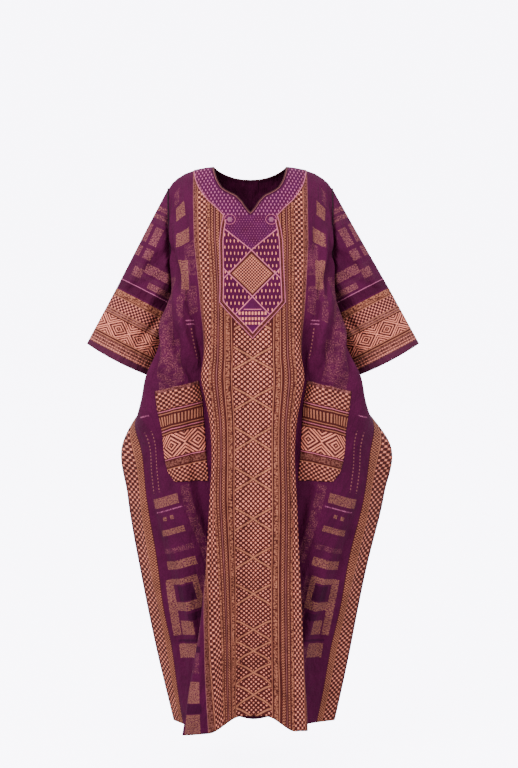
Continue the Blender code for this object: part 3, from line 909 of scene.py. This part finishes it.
# %% The sleeve's print
SLEEVE_ROWS = [
    (-40, "purple"), (12, "maroon", "salmon", DUST), (14, "mauve", "cream", DOTS),
    (17, "maroon", "salmon", DUST), (22, "mauve", "cream", DOTS), (25, "maroon", "salmon", DUST),
    (30, "mauve", "cream", DOTS), (33, "maroon", "salmon", DUST), (37.5, "gold"), (40, "maroon"),
    (44, "gold"), (46, "maroon"), (97, "gold"), (99, "maroon", "mauve", DUST), (104, "gold"),
    (106, "maroon", "mauve", DUST), (110, "gold"), (112, "maroon", "mauve", NET), (143, "gold"),
    (145, "maroon"), (148, "maroon", "gold", DUST), (163, "plum"), (166, "deep plum"),
    (188, "rose"), (190.5, "plum"), (372, "plum", "mauve", DUST), (384, "plum"),
    (392, "plum", "mauve", DUST), (404, "plum")]
SLEEVE_BLOCKS = [
    # over from, to; up from, to
    (75, 142, 198, 214), (50, 137, 232, 257), (24, 49, 212, 237), (0, 20, 264, 292),
    (30, 53, 264, 292), (0, 20, 305, 355), (29, 51, 303, 352)]
SLEEVE_BLOOMS = [(50, 130, 216, 226), (20, 52, 200, 250), (60, 150, 330, 420), (20, 60, 360, 420)]


def eyes(tree, place, colour, over, up, ends, period):
    """A band of diamonds with an eye in each, painted on a colour.

    The distance from a diamond's middle is |over wave| + |up wave|, in mm. Thick cream lines
    part the diamonds. Inside there are thinner nested lines, and outside a dusty ground.
    """
    half = (ends[1] - ends[0]) / 2
    aside = add(tree, "Math", over, period / 2, operation="PINGPONG")
    height = times(tree, distance(tree, up, sum(ends) / 2), period / 2 / half)
    away = add(tree, "Math", aside, height)
    ground = paint(tree, INK["maroon"], INK["salmon"], mottle(tree, place, 3.0, 0.5, 0.66))
    ground = paint(tree, ground, INK["cream"], is_above(tree, wave(tree, away, 9.5), 0.3))
    ground = paint(tree, ground, INK["maroon"], strip(tree, away, 25.5, 34.5))
    ground = paint(tree, ground, INK["cream"], strip(tree, away, 27.6, 32.4))
    return paint(tree, colour, ground, strip(tree, up, *ends))


def sleeve_print(tree, place, over, up):
    """The printed colour of a sleeve, its rows counted from the first one's start."""
    first = SLEEVE_ROWS[0][0]
    raised = add(tree, "Math", up, -first)
    rows = [(row[0] - first, *row[1:]) for row in SLEEVE_ROWS]
    colour = striped_print(tree, place, raised, over, up, rows, 520, 10.5, 7.0)
    colour = eyes(tree, place, colour, over, up, (48, 95), 60.0)
    dusty = mottle(tree, place, 3.0, 0.42, 0.60)
    for ink, places in (("purple", SLEEVE_BLOOMS), ("mauve", SLEEVE_BLOCKS)):
        mask = union(tree, [block(tree, over, up, ends) for ends in places])
        colour = paint(tree, colour, INK[ink], times(tree, mask, dusty))
    return colour


sleeve_cotton = woven_cotton("wax printed sleeve cotton", sleeve_print)
print("sleeve cotton:", len(sleeve_cotton.node_tree.nodes), "nodes")

# %% The sleeve's surface
SLEEVE_CREASES = [
    # from over, up; to over, up; half width; height
    (150, 330, 60, 60, 15, 10), (178, 260, 110, 30, 12, -12), (120, 400, 40, 190, 13, -9),
    (150, 420, 170, 120, 11, 9), (50, 330, 20, 120, 10, 6), (140, 300, 150, 60, 9, 8),
    (90, 230, 74, 20, 12, -8), (110, 260, 10, 150, 9, -6)]
SLEEVE_GAP = 1.4            # from the armhole to the sleeve's first section
SLEEVE_SWELL = 22.0         # how much deeper the sleeve gets, to the front and to the back
ARMHOLE_BULGE = 15.0        # how far the cloth stands out just past the armhole
CUFF_WAY = (-0.888, -0.460)  # X and Z of the way from the cuff's tip to its foot


def sleeve_surface(share, turn):
    """A tube whose section is a flat ellipse between the upper fold and the lower one.

    Across the section, across = (1 - cos turn) / 2 and Y = -depth * sin turn. The upper fold is
    a straight line from the armhole to the cuff. The lower one bends in towards the body.
    """
    top_x = ARMHOLE_TOP_X + SLEEVE_GAP + (CUFF_TIP[0] - ARMHOLE_TOP_X) * share
    top_z = -ARMHOLE_TOP_DROP + (CUFF_TIP[1] + ARMHOLE_TOP_DROP) * share
    foot_x = ARMHOLE_FOOT_X + SLEEVE_GAP + (CUFF_FOOT[0] - ARMHOLE_FOOT_X) * share
    foot_x = foot_x - FOOT_BEND * np.sin(pi * share)
    foot_z = -UNDERARM + (CUFF_FOOT[1] + UNDERARM) * share
    across = (1 - np.cos(turn)) / 2
    depth = ARMHOLE_DEPTH + SLEEVE_SWELL * np.sin(pi * share * 0.62)
    x = top_x + (foot_x - top_x) * across
    z = top_z + (foot_z - top_z) * across - CUFF_SAG * share ** 2 * np.sin(pi * across)
    return x, -depth * np.sin(turn), z


def sleeve_flat(x, z):
    """Over and up on the sleeve's cut: distances from the cuff tip along and square to the cuff."""
    way_x, way_z = CUFF_WAY
    tip_x, tip_z = x - CUFF_TIP[0], z - CUFF_TIP[1]
    return way_x * tip_x + way_z * tip_z, way_z * tip_x - way_x * tip_z


def sleeve_piece(name, side, node):
    share = np.linspace(0, 1, 84)[:, None]
    turn = np.linspace(0, 2 * pi, 128, endpoint=False)[None]
    x, y, z = sleeve_surface(share, turn)
    flat = sleeve_flat(x, z)
    bulge = ridges(SLEEVE_CREASES, *flat)
    bulge += ARMHOLE_BULGE * np.exp(-((share - 0.11) / 0.09) ** 2) * np.sin(turn % pi)
    bulge *= np.abs(np.sin(turn)) * smooth_step(share / 0.06)
    y = y - bulge * np.sign(np.sin(turn))
    points = np.stack([side * x + straight(LEAN, -z), y, z], axis=-1)
    piece = cloth_piece(name, points, flat, side, CLOTH, sleeve_cotton, node,
                        wrap=True)
    whole = np.concatenate([points, points[:, :1]], axis=1)
    around = np.linalg.norm(np.diff(whole, axis=1), axis=-1).sum(axis=1)
    print(name, "area", round(cut_area(whole), 3), "around the armhole", round(around[0]),
          "and the cuff", round(around[-1]))


for word, side in SIDES:
    sleeve_piece("sleeve_cloth_" + word, side, "sleeve_" + word)

# %% [markdown]
# ## The yoke
# A yoke is a patch round the neck that strengthens the opening and carries the finest work. This
# one is brighter plum. Its collar has rows of couched dots, and its tongue ends in a point below
# the chest, with a diamond of gold net between crossed pink lines. It is made of spokes that run
# from the neckline to its own edge, so the grid follows both outlines.

# %% The yoke's print
DIAMOND_TOP, DIAMOND_MIDDLE, DIAMOND_FOOT = 228.0, 288.0, 346.0
TOP_SLOPE, FOOT_SLOPE = -0.8, 1.07  # of the lines that leave the top and the foot, outward


def yoke_print(tree, place, across, down):
    """Couched dots on the collar, then lines, dashes, the diamond and three rows of bricks."""
    side = distance(tree, across)
    colour = paint(tree, INK["bright plum"], INK["plum"], mottle(tree, place, 26.0, 0.3, 0.7))
    # Large dots on the collar, and tiny ones on the upper part of the tongue.
    dots = times(tree, diamonds(tree, side, down, 9.6, 1.42, 17.0), is_below(tree, down, 140.0))
    tiny = times(tree, diamonds(tree, side, down, 7.0, 1.82, 12.0), strip(tree, down, 140, 226))
    # Beside the diamond the ground is darker and the dashes are long.
    valley = add(tree, "Math", side, TOP_SLOPE, DIAMOND_TOP, operation="MULTIPLY_ADD")
    below = is_above(tree, down, valley)
    roof = add(tree, "Math", side, FOOT_SLOPE, DIAMOND_FOOT, operation="MULTIPLY_ADD")
    quarter = times(tree, below, is_below(tree, down, roof))
    colour = paint(tree, colour, INK["plum"], quarter)
    tiny = times(tree, tiny, add(tree, "Math", 1.0, below, operation="SUBTRACT"))
    long_marks = times(tree, diamonds(tree, side, down, 9.5, 1.68, 31.6), quarter)
    colour = paint(tree, colour, INK["rose"], union(tree, [dots, tiny]))
    colour = paint(tree, colour, INK["cream"], long_marks)
    # The diamond: |side| + |down - DIAMOND_MIDDLE|.
    away = add(tree, "Math", side, distance(tree, down, DIAMOND_MIDDLE))
    colour = paint(tree, colour, INK["maroon"], is_below(tree, away, 60.0))
    colour = paint(tree, colour, INK["gold"], strip(tree, away, 47.5, 50))
    lines, knots = lattice(tree, side, down, 8.0, 0.7, -0.35)
    net = paint(tree, INK["maroon"], INK["salmon"], lines)
    net = paint(tree, net, INK["cream"], knots)
    colour = paint(tree, colour, net, is_below(tree, away, 47.5))
    # Pink lines.
    rising = sloped_line(tree, side, down, 1.03, DIAMOND_TOP, 1.9)
    roof_line = sloped_line(tree, side, down, FOOT_SLOPE, DIAMOND_FOOT, 1.9)
    lines = [sloped_line(tree, side, down, TOP_SLOPE, DIAMOND_TOP, 1.7),
             times(tree, rising, is_below(tree, side, 77.0)),
             sloped_line(tree, side, down, -1.0, DIAMOND_FOOT, 1.9),
             times(tree, roof_line, is_below(tree, side, 43.0)),
             block(tree, side, down, (-1, 22, 377, 379.5))]
    colour = paint(tree, colour, INK["pink"], union(tree, lines))
    # A maroon band and a pink line follow the tongue's edge. The neckline has a dark band.
    edge = add(tree, "Attribute", attribute_name="from_edge").node.outputs["Fac"]
    tongue = is_above(tree, down, 150.0)
    for ink, low, high in (("pink", 7.5, 10.0), ("maroon", -1, 7.5)):
        mask = times(tree, strip(tree, edge, low, high), tongue)
        colour = paint(tree, colour, INK[ink], mask)
    neck = add(tree, "Attribute", attribute_name="from_neckline").node.outputs["Fac"]
    for ink, low, high in (("dark", 2.5, 6.5), ("mauve", 1.0, 2.5)):
        colour = paint(tree, colour, INK[ink], strip(tree, neck, low, high))
    bricks = union(tree, [block(tree, side, down, ends) for ends in (
        (-1, 34, 384, 392), (-1, 31, 398, 405), (-1, 23, 410, 416))])
    bricks = times(tree, bricks, is_above(tree, wave(tree, side, 8.0), -0.2))
    return paint(tree, colour, INK["cream"], bricks)


yoke_cotton = woven_cotton("plum yoke cotton with couched dots", yoke_print, 0.5)
print("yoke cotton:", len(yoke_cotton.node_tree.nodes), "nodes")

# %% The yoke's shape
FRONT_YOKE_SPOKES = np.array([
    # inner_across, inner_down, outer_across, outer_down
    (96, 0, 149, 0), (95.8, 3, 148.8, 4), (95.5, 7, 148.3, 9), (95, 12, 147.3, 16),
    (93.5, 18, 146, 24), (91, 27, 143, 36), (87, 40, 137.5, 52), (81, 53, 130, 66),
    (74, 64, 121, 81), (65, 71, 110, 96), (56, 76, 86, 120), (49, 80, 69, 139),
    (42, 83, 73, 155), (36, 87, 77, 177), (30, 93, 80, 205), (26, 98, 80, 255),
    (22, 102, 80, 310), (18, 109, 80, 361), (14, 115, 60, 384), (9, 122, 40, 406),
    (4, 128, 20, 428), (0, 132, 0, 451)])
BACK_YOKE_SPOKES = np.array([
    # inner_across, inner_down, outer_across, outer_down
    (96, 0, 149, 0), (95.6, .6, 148.5, 4), (95, 1.2, 147.5, 8), (94, 2, 145.5, 14),
    (93, 3, 143, 20), (91, 4.5, 137, 29), (88, 6.5, 128, 40), (82, 10, 115, 51),
    (74, 14, 102, 58), (60, 19, 80, 67), (42, 24, 52, 74), (22, 27, 26, 77), (0, 28, 0, 78)])
YOKE_LIFT = 1.5
PATCH = 1.0                 # thickness of the yoke's and the pockets' cloth


def dense(rows, count):
    """The rows of a table with straight lines between them, at `count` even places."""
    at = np.linspace(0, len(rows) - 1, count)
    return np.stack([np.interp(at, np.arange(len(rows)), column) for column in rows.T], axis=-1)


def spoke_grid(spokes, count, shares):
    """Flat distances over a patch, from the left shoulder round to the right one."""
    inner_s, inner_t, outer_s, outer_t = dense(spokes, count).T
    shares = np.linspace(0, 1, shares)[:, None]
    half_s = inner_s + (outer_s - inner_s) * shares
    half_t = inner_t + (outer_t - inner_t) * shares
    return np.hstack([-half_s, half_s[:, -2::-1]]), np.hstack([half_t, half_t[:, -2::-1]])


def away_from(across, down, line):
    """Distance of each point from a line of straight pieces, all on the flat cut."""
    start, run = line[:-1], np.diff(line, axis=0)
    gap = np.stack([across.ravel(), down.ravel()], axis=-1)[:, None] - start
    share = np.clip((gap * run).sum(-1) / (run ** 2).sum(-1), 0, 1)[..., None]
    return np.linalg.norm(gap - share * run, axis=-1).min(axis=1)


def both_sides(rows):
    """A line on the wearer's right joined to its mirror image on the left."""
    return np.vstack([rows * (-1, 1), rows[-2::-1]])


def yoke_piece(name, facing, spokes, count, node):
    grid = spoke_grid(spokes, count, 46)
    points = worn_grid(facing, *grid, YOKE_LIFT)
    piece = cloth_piece(name, points, grid, facing, PATCH, yoke_cotton, node)
    for edge, columns in (("from_neckline", spokes[:, :2]), ("from_edge", spokes[:, 2:])):
        layer = piece.data.attributes.new(edge, "FLOAT", "POINT")
        layer.data.foreach_set("value", away_from(*grid, both_sides(columns)))
    print(name, "area", round(cut_area(points), 4), "square metres")


yoke_piece("yoke_cloth_front", -1, FRONT_YOKE_SPOKES, 127, "front_yoke")
yoke_piece("yoke_cloth_back", 1, BACK_YOKE_SPOKES, 73, "back_yoke")

# %% [markdown]
# ## The pockets
# Two patch pockets sit on the front, open along the top. Their print is laid across, so its bands
# run level: a dusty hem, the net, a comb, lines, a band of diamonds, and the net again.

# %% The pocket's print
POCKET_TOP = 551.0
POCKET_EYE = 186.0          # distance from the centre line to the middle of a diamond
POCKET_ROWS = [
    (0, "maroon", "mauve", DUST), (8, "maroon", "salmon", NET), (48, "maroon"), (51, "pink"),
    (53, "maroon"), (57, "gold"), (59, "maroon"), (92, "gold"), (94, "maroon"), (99, "pink"),
    (101, "maroon"), (106, "gold"), (108, "maroon"), (174, "pink"), (176, "maroon"),
    (179, "maroon", "salmon", DUST), (194, "maroon"), (199, "gold"), (201, "maroon", "salmon", NET)]


def pocket_print(tree, place, across, down):
    """The printed colour of a pocket, with its rows counted from its top edge."""
    side = distance(tree, across)
    depth = add(tree, "Math", down, POCKET_TOP, operation="SUBTRACT")
    colour = striped_print(tree, place, depth, side, depth, POCKET_ROWS, 260, 11.0, 7.0)
    teeth = is_above(tree, wave(tree, side, 6.4), 0.1)
    comb = times(tree, strip(tree, depth, 65, 87), teeth)
    colour = paint(tree, colour, INK["gold"], comb)
    over = add(tree, "Math", side, POCKET_EYE, operation="SUBTRACT")
    return eyes(tree, place, colour, over, depth, (113, 172), 56.0)


pocket_cotton = woven_cotton("wax printed pocket cotton", pocket_print, 0.6)
print("pocket cotton:", len(pocket_cotton.node_tree.nodes), "nodes")

# %% The pocket's shape
POCKET_MOUTH = 11.0         # how far the pocket stands open at its top
POCKET_EDGES = np.array([
    # inner_down, outer_down, inner_across, outer_across
    (551, 553, 172, 266), (558, 560, 172, 266.5), (600, 597, 170, 269), (650, 641, 168, 270),
    (700, 686, 167, 270), (750, 731, 168, 268), (782, 760, 168, 262), (803, 786, 170, 246)])


def pocket_grid(side, rows=64, columns=44):
    """Flat distances over a pocket and how far each point stands off the front.

    The pouch is POCKET_MOUTH * sin(pi * share across) ** 0.7 * (1 - share down) ** 0.6.
    """
    edges = dense(POCKET_EDGES, rows)
    over = np.linspace(0, 1, columns)
    across = edges[:, 2:3] + (edges[:, 3:4] - edges[:, 2:3]) * over
    down = edges[:, 0:1] + (edges[:, 1:2] - edges[:, 0:1]) * over
    height = 1 - (down - POCKET_TOP) / (down[-1] - POCKET_TOP)
    pouch = POCKET_MOUTH * np.sin(pi * over) ** 0.7 * np.clip(height, 0, 1) ** 0.6
    return side * across, down, YOKE_LIFT + pouch


def pocket_piece(name, side, node):
    across, down, out = pocket_grid(side)
    points = worn_grid(-1, across, down, out)
    piece = cloth_piece(name, points, (across, down), -side, PATCH, pocket_cotton, node)
    print(name, "area", round(cut_area(points), 4), "square metres")


for word, side in SIDES:
    pocket_piece("pocket_cloth_" + word, side, "pocket_" + word)

# %% [markdown]
# ## Piping, binding and seams
# A pink cord is sewn round the yoke and a maroon binding covers the raw edge of the neck. Where
# two panels meet, a narrow welted seam joins them. Each is a cord: a small circle carried along a
# path on the cloth. Its lay is a twist that runs round it, so its map holds the way round and
# the way along.

# %% Cords along a path
def cord_material(name, colour, twist, rough):
    """A twisted cord. Its ply runs round it once in `twist` mm, which is true to the real one. Its
    colour is darker in the ply's grooves and paler on its crowns, as painted shade.
    """
    material, tree, shader = new_material(name, {"Specular IOR Level": 0.3})
    place, around, length = cut_coordinates(tree)
    ply = wave(tree, add(tree, "Math", around, length), twist)
    # Painted shade: the colour is darker in the ply's grooves and paler on its crowns, following
    # the bump's wave.
    shade = add(tree, "MapRange", ply, -1.0, 1.0, 0.78, 1.12)
    worn_patch = blotches(tree, place, 18, 2.0, 0.6, 0.3, 0.7, 0.85, 1.12)
    value = times(tree, shade, worn_patch)
    colour = add(tree, "VectorMath", linear(colour)[:3], value, operation="SCALE")
    tree.links.new(colour, shader["Base Color"])
    gloss = add(tree, "MapRange", ply, -1.0, 1.0, rough + 0.1, rough)
    tree.links.new(gloss, shader["Roughness"])
    bump = add(tree, "Bump", 0.5, 0.0004)
    tree.links.new(ply, bump.node.inputs["Height"])
    tree.links.new(bump, shader["Normal"])
    return material


piping_cord = cord_material("rayon piping cord", "#c9677f", 2.4, 0.5)
maroon_binding = cord_material("maroon cotton binding", "#451b20", 3.0, 0.75)
plum_seam = cord_material("plum welted seam", "#4a1534", 3.2, 0.8)
# The armhole seam's cord is near black, darker than the other seams: painted shade for the shadowed
# valley between sleeve and body.
armhole_seam_painted_shade = cord_material("welted armhole seam in painted shade", "#2a0a1c", 3.2, 0.85)


def tube(name, path, lift, radius, material, sides=8, closed=False):
    """A cord: path + radius * (cos turn * outward + sin turn * aside), round and along.

    Outward is the cloth's own normal made square to the path, and aside is square to both. An
    open cord's ends shrink to a point.
    """
    tangent = np.gradient(path, axis=0)
    if closed:
        tangent = np.roll(path, -1, axis=0) - np.roll(path, 1, axis=0)
    tangent = unit(tangent)
    aside = unit(np.cross(tangent, lift))
    outward = np.cross(aside, tangent)
    turn = np.linspace(0, 2 * pi, sides, endpoint=False)[None, :, None]
    size = np.full(len(path), float(radius))
    if not closed:
        size[[0, -1]] = 0.02
    rings = path[:, None] + size[:, None, None] * (
        np.cos(turn) * outward[:, None] + np.sin(turn) * aside[:, None])
    faces = grid_faces(len(path), sides, wrap_rows=closed, wrap_columns=True).tolist()
    if not closed:
        last = (len(path) - 1) * sides
        faces += [list(range(sides))[::-1], list(range(last, last + sides))]
    flat = np.broadcast_arrays(turn[..., 0] * radius, gone_along(path)[:, None])
    piece = new_piece(name, rings, faces, np.stack(flat, axis=-1))
    piece.data.materials.append(material)
    return piece


def on_cloth(facing, line, out, spacing=3.0):
    """Points and outward directions along a line on the cut, every few millimetres."""
    line = np.asarray(line, float)
    gone = gone_along(line)
    at = np.linspace(0, gone[-1], max(int(gone[-1] / spacing), 3) + 1)
    across, down = (np.interp(at, gone, column) for column in line.T)
    path = worn(facing, across, down, out)
    lift = worn(facing, across, down, out + 1.0) - path
    return path, lift


print("cords:", piping_cord.name, maroon_binding.name, plum_seam.name, sep=", ")

# %% Piping and binding
PIPING_INSET = 0.994        # share of the way out to the yoke's edge
trims, neck = [], []
for word, facing, spokes in (("front", -1, FRONT_YOKE_SPOKES), ("back", 1, BACK_YOKE_SPOKES)):
    edge = both_sides(spokes[:, 2:]) * (PIPING_INSET, 1)
    path, lift = on_cloth(facing, edge, YOKE_LIFT + 0.9, 2.5)
    trims.append(tube("yoke_piping_" + word, path, lift, 1.25, piping_cord))
    neck.append(on_cloth(facing, both_sides(spokes[:, :2]), 1.4, 2.0))
path, lift = (np.vstack([fore[1:-1], aft[-2:0:-1]]) for fore, aft in zip(*neck))
trims.append(tube("neck_binding", path, lift, 1.9, maroon_binding, closed=True))
print("trims:", [piece.name for piece in trims])

# %% Seams
def rim_line(down):
    """The side edge of a panel on its cut."""
    return np.stack([straight(HALF_WIDTH, down) * 0.9996, down], axis=-1)


def joined_edges(side, downs, out=0.4):
    """The middle between the front's and the back's edge, and the way out from both."""
    line = rim_line(downs) * (side, 1)
    fore = worn(-1, *line.T, out)
    aft = worn(1, *line.T, out)
    return (fore + aft) / 2, np.broadcast_to((side, 0.0, 0.05), fore.shape)


arm_downs = UNDERARM * (1 - np.cos(np.linspace(0, pi, 90))) / 2
for word, side in SIDES:
    path, lift = joined_edges(side, np.linspace(UNDERARM + 2, HEM - 0.5, 300))
    seam = tube("side_seam_" + word, path, lift, 1.1, plum_seam, sides=6)
    line = rim_line(arm_downs) * (side, 1)
    ring = np.vstack([worn(-1, *line.T, 0.6), worn(1, *line.T, 0.6)[-2:0:-1]])
    ring = ring + (side * 1.0, 0, 0)
    outward = ring - ring.mean(axis=0)
    # A thick, near black cord round the armhole: painted shade for the valley between sleeve and
    # body.
    armhole = tube("armhole_seam_" + word, ring, outward, 2.2, armhole_seam_painted_shade, closed=True)
    flat = np.linspace(NECK_HALF + 2, SHOULDER_HALF - 1, 60)
    top = (worn(-1, side * flat, 0 * flat) + worn(1, side * flat, 0 * flat)) / 2
    shoulder = tube("shoulder_seam_" + word, top, np.broadcast_to((0.0, 0, 1), top.shape), 0.9,
                    plum_seam, sides=6)
print("seams: two sides, two armholes, two shoulders")

# %% [markdown]
# ## Rosettes and stitches
# Two embroidered rosettes sit where the collar meets the tongue: a thin ring of cord and a small
# padded button. The hems are held by topstitching, a stitch every 4 mm. One stitch is a slim
# double pyramid of eight faces, and all the stitches of a hem are one mesh.

# %% Thread
def thread_material(name, colour):
    """Mercerised cotton thread, a little shinier than the cloth and uneven in its dye."""
    material, tree, shader = new_material(name, {"Roughness": 0.5})
    place = add(tree, "TexCoord").node.outputs["Object"]
    value = blotches(tree, place, 9 * MM, 2.0, 0.5, 0.3, 0.7, 0.8, 1.15)
    colour = add(tree, "VectorMath", linear(colour)[:3], value, operation="SCALE")
    tree.links.new(colour, shader["Base Color"])
    return material


gold_thread = thread_material("salmon mercerised thread", "#b4684f")
plum_thread = thread_material("plum mercerised thread", "#5c1f45")


def stitch_row(name, rows, material, pitch=4.0, length=2.9, half=0.38):
    """Stitches along rows of (path, lift): each is a double pyramid with eight faces."""
    starts, ends, lifts = [], [], []
    for path, lift in rows:
        gone = gone_along(path)
        at = np.arange(pitch, gone[-1] - pitch, pitch)
        for part, store in ((at, starts), (at + length, ends)):
            store.append(np.stack([np.interp(part, gone, line) for line in path.T], axis=-1))
        lifts.append(np.stack([np.interp(at, gone, line) for line in lift.T], axis=-1))
    start, end, lift = map(np.vstack, (starts, ends, lifts))
    lift = unit(lift)
    aside = unit(np.cross(end - start, lift))
    middle = (start + end) / 2
    corners = np.stack([start, middle + half * aside, middle + half * lift,
                        middle - half * aside, middle - half * lift, end], axis=1)
    one = np.array([(0, 1, 2), (0, 2, 3), (0, 3, 4), (0, 4, 1),
                    (5, 2, 1), (5, 3, 2), (5, 4, 3), (5, 1, 4)])[:, ::-1]
    faces = (one[None] + 6 * np.arange(len(start))[:, None, None]).reshape(-1, 3)
    piece = new_piece(name, corners, faces)
    piece.data.materials.append(material)
    print(name, "has", len(start), "stitches")
    return piece


# %% Rosettes
def button(name, facing, middle, radius, height, lift, material):
    """A low dome on the cloth: height * (1 - share squared), from its middle to its edge."""
    share = np.linspace(0.02, 1, 10)[:, None]
    angle = np.linspace(0, 2 * pi, 36, endpoint=False)[None]
    across = middle[0] + radius * share * np.cos(angle)
    down = middle[1] + radius * share * np.sin(angle)
    out = lift + height * (1 - share ** 2) + 0.35 * np.cos(angle * 12) * share * (1 - share)
    points = worn_grid(facing, across, down, out)
    faces = grid_faces(*across.shape, wrap_columns=True).tolist() + [list(range(36))[::-1]]
    piece = new_piece(name, points, faces, np.stack([across, down], axis=-1))
    piece.data.materials.append(material)
    return piece


ROSETTE_SIDE, ROSETTE_DOWN, ROSETTE_RADIUS = 53.0, 150.0, 14.0
mauve_cord = cord_material("mauve satin stitch", "#94506a", 2.0, 0.6)
turn = np.linspace(0, 2 * pi, 72, endpoint=False)
for word, side in SIDES:
    middle = np.array([side * ROSETTE_SIDE, ROSETTE_DOWN])
    circle = middle + ROSETTE_RADIUS * np.stack([np.cos(turn), 0.92 * np.sin(turn)], axis=-1)
    path = worn(-1, *circle.T, YOKE_LIFT + 1.1)
    lift = worn(-1, *circle.T, YOKE_LIFT + 2.1) - path
    ring = tube("rosette_ring_" + word, path, lift, 0.7, piping_cord, closed=True)
    boss = button("rosette_button_" + word, -1, middle, 6.5, 1.6, YOKE_LIFT + 0.9, mauve_cord)
print("rosettes at", ROSETTE_SIDE, "mm either side of the centre line")

# %% Topstitching
hem_line = [(-398, HEM - 14), (398, HEM - 14)]
hem_rows, hem_rows_back = ([on_cloth(facing, hem_line, CLOTH + 0.1)] for facing in (-1, 1))
pocket_rows = []
for word, side in SIDES:
    across, down, out = pocket_grid(side)
    for rows, columns in ((slice(None), 2), (slice(None), -3), (-3, slice(None)), (3, slice(None))):
        flat = across[rows, columns], down[rows, columns]
        lifted = np.broadcast_to(out, across.shape)[rows, columns] + 1.1
        path = worn(-1, *flat, lifted)
        pocket_rows.append((path, worn(-1, *flat, lifted + 1.0) - path))
yoke_rows = [on_cloth(-1, both_sides(FRONT_YOKE_SPOKES[:, 2:] * (0.955, 0.99)), YOKE_LIFT + 1.1)]
for name, rows, thread, slot in (
        ("hem_stitches_front", hem_rows, plum_thread, "printed_cotton"),
        ("hem_stitches_back", hem_rows_back, plum_thread, "printed_cotton"),
        ("pocket_stitches", pocket_rows, gold_thread, "pocket_cotton"),
        ("yoke_stitches", yoke_rows, gold_thread, "yoke_cotton")):
    stitch_row(name, rows, thread)
